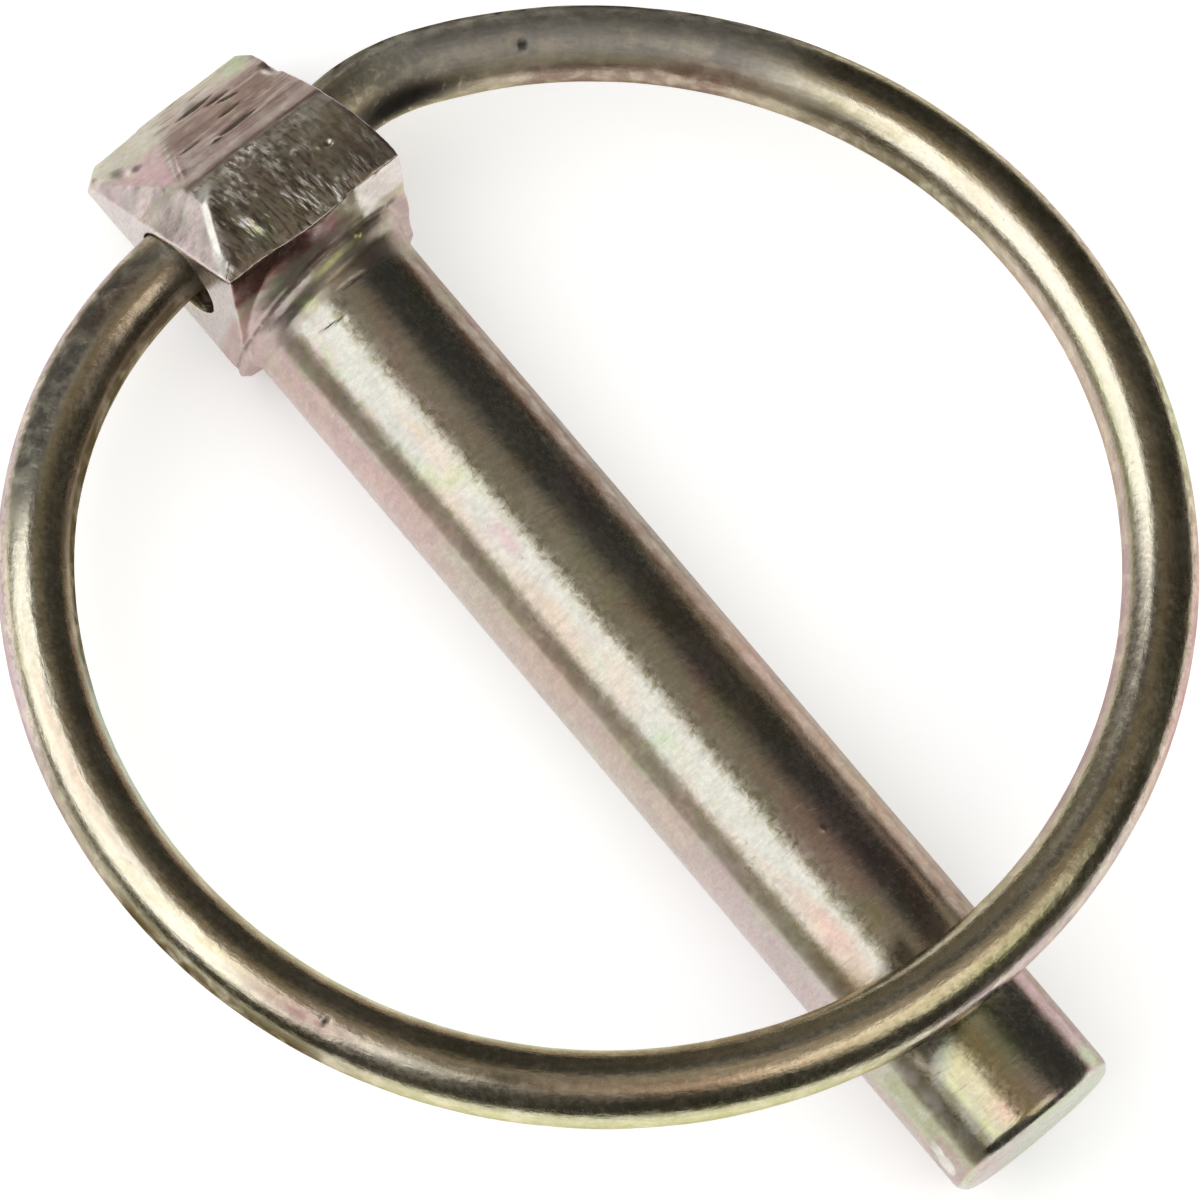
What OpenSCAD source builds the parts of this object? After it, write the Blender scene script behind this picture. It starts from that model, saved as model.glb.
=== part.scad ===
// Lynch pin: a forged steel pin with a block head, and a spring wire ring
// that hinges in the head's cross bore and closes over the shank.
// The shank runs along +X from the neck at the origin. The ring's hinge
// runs across the head near +Y. +Z is the side that the ring closes on.

/* [Shank] */
// Diameter of the shank
shank_d = 7.94; // [6.5:0.02:10]
// Length of the shank from the neck to the flat tip
shank_l = 44.2; // [40:0.1:80]
// Radius of the rounded rim of the tip
tip_round = 0.6; // [0.2:0.1:1]

/* [Head] */
// Length of the head along the shank
head_l = 11.6; // [10:0.1:16]
// Width of the head along the hinge
head_w = 9.1; // [8:0.1:12]
// Sideways shift of the head, as forged
head_shift = 0.1; // [0:0.1:0.6]
// How far the nose of the head stands out in front of the shank
nose_out = 1.7; // [0.5:0.1:2.2]
// Radius of the hollow neck between the head and the shank
neck_round = 2.7; // [2:0.1:5]

/* [Ring] */
// Diameter of the ring's wire
wire_d = 3.18; // [2.4:0.02:4]
// Inside diameter of the ring
ring_inner_d = 42.5; // [36:0.1:52]
// How far the hinge lies inside the ring's wire
hinge_inset = 1.5; // [1:0.1:3]
// Shift of the ring's centre along the hinge
ring_shift = -1.2; // [-2:0.1:0]
// Gap between the closed ring and the shank
rest_gap = 0.65; // [0.05:0.05:1]

/* [Hinge] */
// Distance of the hinge behind the neck
hinge_back = 6.1; // [5.5:0.1:7]
// Height of the hinge in front of the shank's axis
hinge_up = 0.5; // [0:0.1:1]
// Angle of the cross bore from square
bore_skew = 5; // [0:0.5:6]
// Radial clearance of the wire in the bore
bore_play = 0.06; // [0.03:0.01:0.1]

/* [Hidden] */
$fn = 96;

shank_r = shank_d / 2;
wire_r = wire_d / 2;
big = 4 * head_l;

// Faces of the head. The back is flush with the back of the shank.
back_proud = 0.03;
head_front = shank_r + nose_out;
head_back = -(shank_r + back_proud);
head_depth = head_front - head_back;
head_right = head_w / 2 + head_shift;
head_left = head_shift - head_w / 2;
head_top = -head_l;
under_x = -0.06 * head_l;
nose_x = -0.23 * head_l;
edge_cut = 0.21 * head_depth;
edge_step = 0.3 * edge_cut;

// A bevel runs from the left end of the nose up to the top: the lean of
// its outward side from +Z, and its turn about +Z
bevel_lean = 49;
bevel_turn = 221;

// Bore of the hinge, with a wider mouth at each end. The left mouth is worn
// towards the shank.
bore_r = wire_r + bore_play;
mouth_left_r = 1.25 * wire_r;
mouth_left_x = 0.3 * wire_r;
mouth_right_r = 1.15 * wire_r;
mouth_deep = 0.13 * head_w;
end_gap = 0.07 * head_w;

// Ring: one main arc, and a bend at each end onto the line of the hinge
ring_r = (ring_inner_d + wire_d) / 2;
ring_reach = ring_r - hinge_inset;
bend_left_r = 0.85 * ring_reach;
bend_right_r = 0.38 * ring_reach;
bend_left_y = ring_shift - bend_out(bend_left_r);
bend_right_y = ring_shift + bend_out(bend_right_r);
bend_left_turn = bend_angle(bend_left_r);
bend_right_turn = bend_angle(bend_right_r);

// The ring is pitched up so that its far side just clears the shank
cross_y = -(ring_reach + ring_r) * tan(bore_skew) - ring_shift;
cross_x = ring_reach + sqrt(pow(ring_r, 2) - pow(cross_y, 2));
ring_pitch = asin((shank_r + wire_r + rest_gap - hinge_up) / cross_x);

// Distance along the hinge from the ring's centre to the centre of a bend
function bend_out(bend_r) =
    sqrt(pow(ring_r - bend_r, 2) - pow(ring_reach - bend_r, 2));

// Angle that a bend turns through
function bend_angle(bend_r) =
    acos((ring_reach - bend_r) / (ring_r - bend_r));

// Side outline of the head, with x along the shank and y up
module side_outline() {
    polygon([
        [under_x, head_back],
        [0.87 * head_top, head_back],
        [head_top, head_back + 0.23 * head_depth],
        [0.65 * head_top, head_back + 0.71 * head_depth],
        [0.39 * head_top, head_back + 0.93 * head_depth],
        [nose_x, head_front],
        [under_x, head_back + 0.38 * head_depth]
    ]);
}

// Outline of the head seen from the front
module plan_outline() {
    polygon([
        [0, head_left],
        [0.93 * head_top, head_left],
        [head_top, head_left + 0.12 * head_w],
        [head_top, head_right - 0.05 * head_w],
        [0.95 * head_top, head_right],
        [0, head_right]
    ]);
}

// Outline of the head seen along the shank, with its back edges cut
module end_outline() {
    polygon([
        [head_left, head_front],
        [head_left, head_back + edge_cut],
        [head_left + edge_step, head_back + edge_step],
        [head_left + edge_cut, head_back],
        [head_right - edge_cut, head_back],
        [head_right - edge_step, head_back + edge_step],
        [head_right, head_back + edge_cut],
        [head_right, head_front]
    ]);
}

// Everything on the outward side of the left bevel
module left_bevel_side() {
    translate([nose_x, head_left, head_front])
        rotate([0, bevel_lean, bevel_turn])
            translate([-big, -big, 0])
                cube([2 * big, 2 * big, big]);
}

// Half section of the shank, with x as the radius and y along the shank
module shank_section() {
    translate([0, nose_x])
        square([shank_r, shank_l - tip_round - nose_x]);
    square([shank_r - tip_round, shank_l]);
    translate([shank_r - tip_round, shank_l - tip_round])
        circle(tip_round);
}

// Half section of the hollow neck behind the shank
module neck_section() {
    difference() {
        translate([0, nose_x])
            square([shank_r + neck_round, -nose_x]);
        translate([shank_r + neck_round, 0])
            circle(neck_round);
    }
}

module turned() {
    rotate([0, 90, 0])
        rotate_extrude()
            children();
}

// The block of the head with its hollow neck, before the bore
module head_block() {
    difference() {
        intersection() {
            rotate([90, 0, 0])
                linear_extrude(2 * head_w, center = true)
                    side_outline();
            linear_extrude(2 * head_depth, center = true)
                plan_outline();
            end_prism();
        }
        left_bevel_side();
    }
    intersection() {
        turned() neck_section();
        end_prism();
    }
}

// The end outline run along the whole head
module end_prism() {
    translate([head_top, 0, 0])
        rotate([90, 0, 90])
            linear_extrude(head_l)
                end_outline();
}

// Places children at the hinge, with their Y axis along the bore
module at_hinge() {
    translate([-hinge_back, 0, hinge_up])
        rotate([0, 0, bore_skew])
            children();
}

module hinge_bore() {
    at_hinge()
        rotate([-90, 0, 0]) {
            cylinder(h = 2 * head_w, r = bore_r, center = true);
            translate([0, 0, head_right - mouth_deep])
                cylinder(h = head_w, r = mouth_right_r);
            translate([mouth_left_x, 0, head_left + mouth_deep - head_w])
                cylinder(h = head_w, r = mouth_left_r);
        }
}

// A bent length of wire: centre, bend radius, first angle and turn
module wire_arc(centre, r, from, turn) {
    translate(centre)
        rotate([0, 0, from])
            rotate_extrude(angle = turn)
                translate([r, 0])
                    circle(wire_r, $fn = 48);
}

// A ball at an angle on a bend, a hair wider than the wire
module wire_joint(centre, r, at) {
    translate(centre)
        rotate([0, 0, at])
            translate([r, 0, 0])
                sphere(wire_r + 0.01, $fn = 48);
}

// A straight length of wire along the hinge
module wire_along_hinge(from_y, to_y) {
    translate([0, from_y, 0])
        rotate([-90, 0, 0])
            cylinder(h = to_y - from_y, r = wire_r, $fn = 48);
}

// One forged and drilled piece
module pin() {
    color("darkkhaki")
        difference() {
            union() {
                head_block();
                turned() shank_section();
            }
            hinge_bore();
        }
}

// One bent wire. It is drawn flat, with the hinge along Y, then pitched up
// to clear the shank. A ball fills each joint between two stretches.
module ring() {
    color("tan")
        at_hinge()
            rotate([0, -ring_pitch, 0]) {
                wire_arc([ring_reach, ring_shift, 0], ring_r,
                    180 + bend_left_turn,
                    360 - bend_left_turn - bend_right_turn);
                wire_arc([bend_left_r, bend_left_y, 0], bend_left_r,
                    180, bend_left_turn);
                wire_arc([bend_right_r, bend_right_y, 0], bend_right_r,
                    180 - bend_right_turn, bend_right_turn);
                wire_along_hinge(bend_left_y, -end_gap);
                wire_along_hinge(end_gap, bend_right_y);
                wire_joint([bend_left_r, bend_left_y, 0], bend_left_r, 180);
                wire_joint([bend_left_r, bend_left_y, 0], bend_left_r,
                    180 + bend_left_turn);
                wire_joint([bend_right_r, bend_right_y, 0], bend_right_r, 180);
                wire_joint([bend_right_r, bend_right_y, 0], bend_right_r,
                    180 - bend_right_turn);
            }
}

pin();
ring();
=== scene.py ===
import logging
import math
from dataclasses import dataclass, field
from enum import Enum
from functools import reduce
from typing import Callable, ClassVar, Iterator, Sequence

import bpy
import numpy as np
from mathutils import Matrix, Vector


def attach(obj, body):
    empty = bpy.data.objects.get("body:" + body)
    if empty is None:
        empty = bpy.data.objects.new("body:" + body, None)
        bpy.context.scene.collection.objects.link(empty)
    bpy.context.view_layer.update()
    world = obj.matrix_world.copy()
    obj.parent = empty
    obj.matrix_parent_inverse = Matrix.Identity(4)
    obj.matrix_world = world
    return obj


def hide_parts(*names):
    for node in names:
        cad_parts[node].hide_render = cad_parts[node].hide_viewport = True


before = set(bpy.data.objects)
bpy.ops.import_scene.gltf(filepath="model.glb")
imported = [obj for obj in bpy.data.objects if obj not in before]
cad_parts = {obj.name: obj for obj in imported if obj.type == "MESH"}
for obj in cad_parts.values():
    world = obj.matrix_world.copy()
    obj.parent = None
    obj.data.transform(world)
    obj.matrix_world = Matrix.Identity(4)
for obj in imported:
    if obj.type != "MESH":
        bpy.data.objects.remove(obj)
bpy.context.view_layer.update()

log = logging.getLogger("lynch_pin")

MM = 0.001
WHITE = (1.0, 1.0, 1.0, 1.0)
Pair = tuple[float, float]
Triple = tuple[float, float, float]
Points = np.ndarray
Piece = bpy.types.Object
Socket = bpy.types.NodeSocket


class Coating(Enum):
    """The shades that a thin yellow passivated zinc coating takes. The darkest are also
    laid on as painted shade and painted dark reflections.
    """

    CREAM = (0.66, 0.63, 0.53)
    PINK = (0.66, 0.45, 0.46)
    MAUVE = (0.44, 0.30, 0.30)
    PLUM = (0.29, 0.195, 0.165)
    DUSK = (0.52, 0.415, 0.36)
    LILAC = (0.62, 0.50, 0.54)
    PEACH = (0.72, 0.49, 0.36)
    COPPER = (0.27, 0.185, 0.135)
    BRONZE = (0.17, 0.14, 0.085)
    GREEN = (0.52, 0.62, 0.38)
    LIME = (0.60, 0.64, 0.30)
    SEA = (0.50, 0.60, 0.52)
    GOLD = (0.64, 0.54, 0.28)
    OLIVE = (0.32, 0.29, 0.18)
    BURGUNDY = (0.26, 0.10, 0.10)
    RUST = (0.30, 0.15, 0.10)
    SILVER = (0.88, 0.85, 0.78)
    ZINC = (0.55, 0.53, 0.50)
    LEAD = (0.27, 0.26, 0.26)
    IRON = (0.13, 0.115, 0.105)
    SOOT = (0.045, 0.042, 0.040)


class Grain(Enum):
    """Which way the fine tool marks run on a piece."""

    ROUND_THE_SHANK = "round the shank"
    ALONG_THE_WIRE = "along the wire"


# --------------------------------------------------------------------------
# Bench: small hand tools
# --------------------------------------------------------------------------


class Bench:
    """Hand tools for one mesh object at a time, worked in millimetres.

    LEVELS is how many steps a vertex group's weights are rounded to, and
    LEAST the depth below which a mark isn't worth pressing in.
    """

    LEVELS: ClassVar[int] = 64
    LEAST: ClassVar[float] = 1e-4

    @staticmethod
    def put_down() -> None:
        """Leaves edit mode and drops whatever is selected."""
        if bpy.context.object and bpy.context.object.mode != "OBJECT":
            bpy.ops.object.mode_set(mode="OBJECT")
        bpy.ops.object.select_all(action="DESELECT")

    @classmethod
    def take(cls, *objects: Piece) -> None:
        """Selects these objects alone and makes the first one active.

        Args:
            objects: The objects to pick up.
        """
        cls.put_down()
        for item in objects:
            item.select_set(True)
        bpy.context.view_layer.objects.active = objects[0]

    @classmethod
    def open_up(cls, piece: Piece) -> None:
        """Takes a piece into edit mode with the whole of it selected.

        Args:
            piece: The piece.
        """
        cls.take(piece)
        bpy.ops.object.mode_set(mode="EDIT")
        bpy.ops.mesh.select_all(action="SELECT")

    @staticmethod
    def close_up() -> None:
        """Turns every face outwards and leaves edit mode."""
        bpy.ops.mesh.select_all(action="SELECT")
        bpy.ops.mesh.normals_make_consistent(inside=False)
        bpy.ops.object.mode_set(mode="OBJECT")

    @staticmethod
    def sink() -> None:
        """Sinks the selected piece's place, turn and scale into its mesh."""
        bpy.ops.object.transform_apply(location=True, rotation=True, scale=True)

    @classmethod
    def work(cls, piece: Piece, kind: str, name: str, **settings: object) -> None:
        """Puts a modifier on a piece and applies it.

        Args:
            piece: The piece.
            kind: The modifier's type.
            name: What the modifier is called.
            settings: The modifier's properties.
        """
        cls.take(piece)
        tool = piece.modifiers.new(name, kind)
        for key, value in settings.items():
            setattr(tool, key, value)
        bpy.ops.object.modifier_apply(modifier=tool.name)

    @classmethod
    def started(cls, name: str) -> Piece:
        """Names the primitive just added and sinks its place into its mesh.

        Args:
            name: The name that the new piece takes.

        Returns:
            The new object.
        """
        piece = bpy.context.object
        piece.name = name
        piece.data.name = name
        cls.sink()
        return piece

    @staticmethod
    def rows(items: bpy.types.bpy_prop_collection, name: str) -> Points:
        """Reads a vector from each item.

        Args:
            items: The items, such as a mesh's vertices.
            name: The property to read.

        Returns:
            One row for each item.
        """
        values = np.zeros(len(items) * 3, np.float32)
        items.foreach_get(name, values)
        return values.reshape(-1, 3).astype(float)

    @classmethod
    def corners(cls, piece: Piece) -> Points:
        """Returns the piece's vertex positions as an array of rows."""
        return cls.rows(piece.data.vertices, "co")

    @classmethod
    def facings(cls, piece: Piece) -> Points:
        """Returns the piece's vertex normals as an array of rows."""
        return cls.rows(piece.data.vertex_normals, "vector")

    @classmethod
    def cut(cls, piece: Piece, point: Triple, outward: Triple) -> None:
        """Cuts away all that lies on the outward side of a plane.

        Args:
            piece: The closed piece to cut.
            point: A point on the plane.
            outward: The plane's direction towards the waste.
        """
        cls.open_up(piece)
        bpy.ops.mesh.bisect(
            plane_co=point, plane_no=outward, use_fill=True, clear_outer=True
        )
        bpy.ops.object.mode_set(mode="OBJECT")

    @classmethod
    def drill(cls, piece: Piece, bit: Piece) -> None:
        """Takes a bit's shape out of a piece and puts the bit away.

        Args:
            piece: The closed piece to drill.
            bit: The closed shape to take out.
        """
        cls.work(
            piece, "BOOLEAN", "hole", operation="DIFFERENCE", solver="EXACT", object=bit
        )
        bpy.data.objects.remove(bit)

    @classmethod
    def ease(
        cls,
        piece: Piece,
        width_of: Callable[[Vector, float], float],
        widest: float,
    ) -> None:
        """Rounds the edges of a block, each by its own width.

        Args:
            piece: The block.
            width_of: Gives the width from an edge's middle and its fold in
                degrees.
            widest: The width that a full weight stands for.
        """
        mesh = piece.data
        folds = cls.folds(piece)
        weights = mesh.attributes.new("bevel_weight_edge", "FLOAT", "EDGE")
        for edge in mesh.edges:
            start, end = (mesh.vertices[corner].co for corner in edge.vertices)
            fold = folds.get(tuple(sorted(edge.vertices)), 0.0)
            width = width_of((start + end) / 2, fold)
            weights.data[edge.index].value = min(width / widest, 1.0)
        cls.work(
            piece,
            "BEVEL",
            "eased edges",
            limit_method="WEIGHT",
            width=widest,
            segments=3,
        )

    @staticmethod
    def folds(piece: Piece) -> dict[tuple[int, int], float]:
        """Measures the fold at each edge of a closed piece.

        Args:
            piece: The closed piece.

        Returns:
            Degrees of fold for each edge, keyed by its sorted vertices.
        """
        faces: dict[tuple[int, int], list[Vector]] = {}
        for face in piece.data.polygons:
            for key in face.edge_keys:
                faces.setdefault(tuple(sorted(key)), []).append(face.normal.copy())
        return {
            key: math.degrees(sides[0].angle(sides[1], 0.0))
            for key, sides in faces.items()
            if len(sides) == 2
        }

    @classmethod
    def skin(cls, piece: Piece, grid: float, rounds: int) -> None:
        """Wraps overlapping closed shapes in one even, slightly soft skin.

        Args:
            piece: The joined shapes.
            grid: Spacing of the new skin's vertices.
            rounds: How many times the skin is relaxed.
        """
        cls.work(piece, "REMESH", "skin", mode="VOXEL", voxel_size=grid)
        cls.work(piece, "SMOOTH", "relaxed", factor=0.5, iterations=rounds)

    @classmethod
    def group(cls, piece: Piece, name: str, weights: Points) -> str:
        """Stores a weight for each vertex as a vertex group.

        Args:
            piece: The piece.
            name: The group's name.
            weights: One weight from 0 to 1 for each vertex.

        Returns:
            The group's name.
        """
        store = piece.vertex_groups.new(name=name)
        levels = np.round(np.clip(weights, 0.0, 1.0) * cls.LEVELS).astype(int)
        for level in np.unique(levels[levels > 0]):
            rows = np.where(levels == level)[0].tolist()
            store.add(rows, level / cls.LEVELS, "REPLACE")
        return store.name

    @classmethod
    def press(cls, piece: Piece, depths: Points, name: str) -> None:
        """Moves the surface along its normals: in where a depth is positive.

        Args:
            piece: The piece.
            depths: Millimetres of depth for each vertex; negative is proud.
            name: What the marks are called.
        """
        for way, amount in ((-1, depths), (1, -depths)):
            deepest = float(amount.max())
            if deepest < cls.LEAST:
                continue
            group = cls.group(piece, name, amount / deepest)
            cls.work(
                piece,
                "DISPLACE",
                name,
                vertex_group=group,
                mid_level=0.0,
                strength=way * deepest,
            )
            piece.vertex_groups.remove(piece.vertex_groups[group])

    @classmethod
    def roughen(cls, piece: Piece, size: float, height: float, where: Points) -> None:
        """Wears the surface down by a soft random unevenness.

        Args:
            piece: The piece.
            size: Size of the bumps in millimetres.
            height: Depth of the deepest troughs in millimetres.
            where: A weight for each vertex.
        """
        pattern = bpy.data.textures.new("unevenness", "CLOUDS")
        pattern.noise_scale = size
        pattern.noise_depth = 2
        group = cls.group(piece, "uneven", where)
        cls.work(
            piece,
            "DISPLACE",
            "unevenness",
            texture=pattern,
            texture_coords="LOCAL",
            mid_level=1.0,
            strength=height,
            vertex_group=group,
        )
        piece.vertex_groups.remove(piece.vertex_groups[group])

    @classmethod
    def thin(cls, piece: Piece, most: int) -> None:
        """Brings the number of triangles down to a limit.

        Args:
            piece: The piece.
            most: The largest number of triangles that may stay.
        """
        now = sum(len(face.vertices) - 2 for face in piece.data.polygons)
        if now > most:
            cls.work(piece, "DECIMATE", "thinned", ratio=most / now)

    @classmethod
    def finish(cls, piece: Piece) -> None:
        """Turns the faces out, smooths them and brings the piece to metres.

        Args:
            piece: The piece.
        """
        cls.open_up(piece)
        cls.close_up()
        bpy.ops.transform.resize(value=(MM, MM, MM), center_override=(0.0, 0.0, 0.0))
        cls.sink()
        bpy.ops.object.shade_smooth()


def bump_of(distance: Points, reach: float) -> Points:
    """A soft hump: 1 at no distance, 0 beyond the reach.

    Args:
        distance: Distances.
        reach: Where the hump ends.

    Returns:
        Heights from 0 to 1.
    """
    share = np.clip(1.0 - (distance / reach) ** 2, 0.0, 1.0)
    return share * share


def ramp_of(value: Points, start: float, end: float) -> Points:
    """A smooth step: 0 before start, 1 past end.

    Args:
        value: Values to place on the step.
        start: Where the step begins.
        end: Where it ends; it may lie below start.

    Returns:
        Heights from 0 to 1.
    """
    share = np.clip((value - start) / (end - start), 0.0, 1.0)
    return share * share * (3.0 - 2.0 * share)


def window(value: Points, low: float, high: float, soft: float) -> Points:
    """A soft-edged window: 1 from low to high.

    Args:
        value: Values to place.
        low: The window's lower edge.
        high: Its upper edge.
        soft: Half the width of each edge.

    Returns:
        Heights from 0 to 1.
    """
    rise = ramp_of(value, low - soft, low + soft)
    return rise * ramp_of(value, high + soft, high - soft)


def line_of(value: Points, at: float, reach: float) -> Points:
    """A soft line: 1 where a value is just so, 0 beyond the reach.

    Args:
        value: Values to place.
        at: The value on the line.
        reach: Half the line's width.

    Returns:
        Heights from 0 to 1.
    """
    return bump_of(np.abs(value - at), reach)


def spot_of(points: Points, at: Triple, reach: float) -> Points:
    """A soft round spot on a surface.

    Args:
        points: The vertices.
        at: The spot's middle.
        reach: Its radius.

    Returns:
        Heights from 0 to 1.
    """
    return bump_of(np.linalg.norm(points - np.array(at), axis=1), reach)


def patch_of(along: Points, across: Points, at: Pair, size: Pair) -> Points:
    """A soft oval patch on a surface that is measured two ways.

    Args:
        along: The first measure of each vertex.
        across: The second measure.
        at: The patch's middle.
        size: Half its size each way.

    Returns:
        Heights from 0 to 1.
    """
    run = (along - at[0]) / size[0]
    return bump_of(np.hypot(run, (across - at[1]) / size[1]), 1.0)


@dataclass(frozen=True)
class Mark:
    """A short dent, gouge or burr on a surface.

    Args:
        at: Its middle, in millimetres.
        along: The direction that it runs in.
        length: Half its length.
        width: Half its width.
        depth: How deep it is; a negative depth stands proud.
    """

    at: Triple
    along: Triple
    length: float
    width: float
    depth: float

    def weights(self, points: Points) -> Points:
        """Works out how strongly the mark acts.

        Args:
            points: Where it is asked for.

        Returns:
            Weights from 0 to 1.
        """
        way = np.array(Vector(self.along).normalized())
        offset = points - np.array(self.at)
        run = offset @ way
        side = np.linalg.norm(offset - run[:, None] * way, axis=1)
        return bump_of(np.hypot(run / self.length, side / self.width), 1.0)

    def depths(self, points: Points) -> Points:
        """Returns the mark's depth at each point."""
        return self.weights(points) * self.depth

    def holds_soot_and_shade(self) -> bool:
        """Tells whether the mark is deep and narrow enough to be darkened with sooty dirt
        and painted shade.
        """
        return self.depth > 0.05 and self.width < 0.2


@dataclass
class Paint:
    """The coating's shade and state at each vertex, kept as attributes."""

    LAYERS: ClassVar[tuple[str, ...]] = (
        "soot_and_shade",
        "dull",
        "mottled",
        "brushed",
        "scored",
        "head",
    )

    piece: Piece
    points: Points = field(init=False)
    facing: Points = field(init=False)
    shade: Points = field(init=False)
    amount: Points = field(init=False)
    layers: dict[str, Points] = field(init=False)

    def __post_init__(self) -> None:
        """Starts with a clean, bright surface that carries no tint."""
        self.points = Bench.corners(self.piece)
        self.facing = Bench.facings(self.piece)
        count = len(self.points)
        self.shade = np.tile(np.array(Coating.CREAM.value), (count, 1))
        self.amount = np.zeros(count)
        self.layers = {name: np.zeros(count) for name in self.LAYERS}

    def tint(self, shade: Coating, weights: Points) -> None:
        """Lays a shade over what is there.

        Args:
            shade: The shade.
            weights: How much of it each vertex takes, from 0 to 1.
        """
        share = np.clip(weights, 0.0, 1.0)[:, None]
        self.shade = self.shade * (1 - share) + np.array(shade.value) * share
        self.amount = np.maximum(self.amount, share[:, 0])

    def coat(self, *rows: tuple[Coating, Points]) -> None:
        """Lays several shades, one over another.

        Args:
            rows: Each shade with its weights.
        """
        for shade, weights in rows:
            self.tint(shade, weights)

    def add(self, layer: str, *weights: Points) -> None:
        """Raises a layer, such as soot, where any of the weights is higher.

        Args:
            layer: The layer's name.
            weights: One or more sets of weights for it.
        """
        for share in weights:
            share = np.clip(share, 0.0, 1.0)
            self.layers[layer] = np.maximum(self.layers[layer], share)

    def store(self) -> None:
        """Writes the tint and the layers onto the piece's vertices."""
        attributes = self.piece.data.attributes
        tint = attributes.new("tint", "FLOAT_COLOR", "POINT")
        rows = np.c_[self.shade, self.amount].astype(np.float32)
        tint.data.foreach_set("color", rows.ravel())
        for name, values in self.layers.items():
            layer = attributes.new(name, "FLOAT", "POINT")
            layer.data.foreach_set("value", values.astype(np.float32))


# --------------------------------------------------------------------------
# Finishes
# --------------------------------------------------------------------------


class Wiring:
    """Adds shader nodes to one tree and joins them up."""

    def __init__(self, tree: bpy.types.NodeTree) -> None:
        """Starts on an empty tree.

        Args:
            tree: The node tree to fill.
        """
        self.tree = tree
        tree.nodes.clear()

    def add(self, kind: str, **settings: object) -> bpy.types.Node:
        """Adds a node and sets its properties.

        Args:
            kind: The node's type name.
            settings: Properties to set on it.

        Returns:
            The node.
        """
        node = self.tree.nodes.new(kind)
        for name, value in settings.items():
            setattr(node, name, value)
        return node

    def feed(self, socket: Socket, value: object) -> None:
        """Links an output to a socket, or sets the socket's own value.

        Args:
            socket: The socket to feed.
            value: The output or the plain value.
        """
        if isinstance(value, Socket):
            self.tree.links.new(value, socket)
        else:
            socket.default_value = value

    def math(self, how: str, *values: object) -> Socket:
        """Works out one number from others.

        Args:
            how: The operation, such as MULTIPLY.
            values: Sockets or numbers.

        Returns:
            The result's socket.
        """
        node = self.add("ShaderNodeMath", operation=how)
        for socket, value in zip(node.inputs, values):
            self.feed(socket, value)
        return node.outputs[0]

    def times(self, *values: object) -> Socket:
        """Multiplies sockets or numbers, one after another."""
        return reduce(lambda done, value: self.math("MULTIPLY", done, value), values)

    def plus(self, *values: object) -> Socket:
        """Adds sockets or numbers up, one after another."""
        return reduce(lambda done, value: self.math("ADD", done, value), values)

    def layer(self, name: str) -> Socket:
        """Reads one painted layer and returns its strength."""
        return self.add("ShaderNodeAttribute", attribute_name=name).outputs["Fac"]

    def stretched(self, vector: Socket, by: Triple) -> Socket:
        """Scales a vector along its axes.

        Args:
            vector: The vector.
            by: The scale on each axis.

        Returns:
            The scaled vector.
        """
        node = self.add("ShaderNodeVectorMath", operation="MULTIPLY")
        self.feed(node.inputs[0], vector)
        node.inputs[1].default_value = by
        return node.outputs[0]

    def facing(self, vector: Socket, way: Sequence[float]) -> Socket:
        """Measures how far a vector runs in a direction.

        Args:
            vector: The vector.
            way: The direction.

        Returns:
            The distance's socket.
        """
        node = self.add("ShaderNodeVectorMath", operation="DOT_PRODUCT")
        self.feed(node.inputs[0], vector)
        node.inputs[1].default_value = way
        return node.outputs["Value"]

    def noise(
        self,
        vector: Socket,
        scale: float,
        detail: float = 2.0,
        wander: float = 0.0,
    ) -> Socket:
        """Adds a noise pattern.

        Args:
            vector: Where the pattern is read.
            scale: Bumps per unit.
            detail: Finer layers.
            wander: How far it is distorted.

        Returns:
            The pattern's strength.
        """
        node = self.add("ShaderNodeTexNoise")
        self.feed(node.inputs["Vector"], vector)
        node.inputs["Scale"].default_value = scale
        node.inputs["Detail"].default_value = detail
        node.inputs["Distortion"].default_value = wander
        return node.outputs["Fac"]

    def step(
        self,
        value: Socket,
        start: float,
        end: float,
        low: float = 0.0,
        high: float = 1.0,
    ) -> Socket:
        """Maps a value smoothly from one range to another.

        Args:
            value: The value.
            start: The value that gives low.
            end: The value that gives high.
            low: The lowest result.
            high: The highest result.

        Returns:
            The result's socket.
        """
        node = self.add("ShaderNodeMapRange", interpolation_type="SMOOTHSTEP")
        self.feed(node.inputs["Value"], value)
        for name, number in (
            ("From Min", start),
            ("From Max", end),
            ("To Min", low),
            ("To Max", high),
        ):
            node.inputs[name].default_value = number
        return node.outputs["Result"]

    def blend(self, share: object, under: object, over: object, how: str = "MIX") -> Socket:
        """Blends two colours.

        Args:
            share: How much of the second colour.
            under: The first colour.
            over: The second colour.
            how: The blend type.

        Returns:
            The colour's socket.
        """
        node = self.add("ShaderNodeMix", data_type="RGBA", blend_type=how)
        self.feed(node.inputs[0], share)
        for socket, value in ((node.inputs[6], under), (node.inputs[7], over)):
            if isinstance(value, Coating):
                value = (*value.value, 1.0)
            self.feed(socket, value)
        return node.outputs[2]


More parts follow.
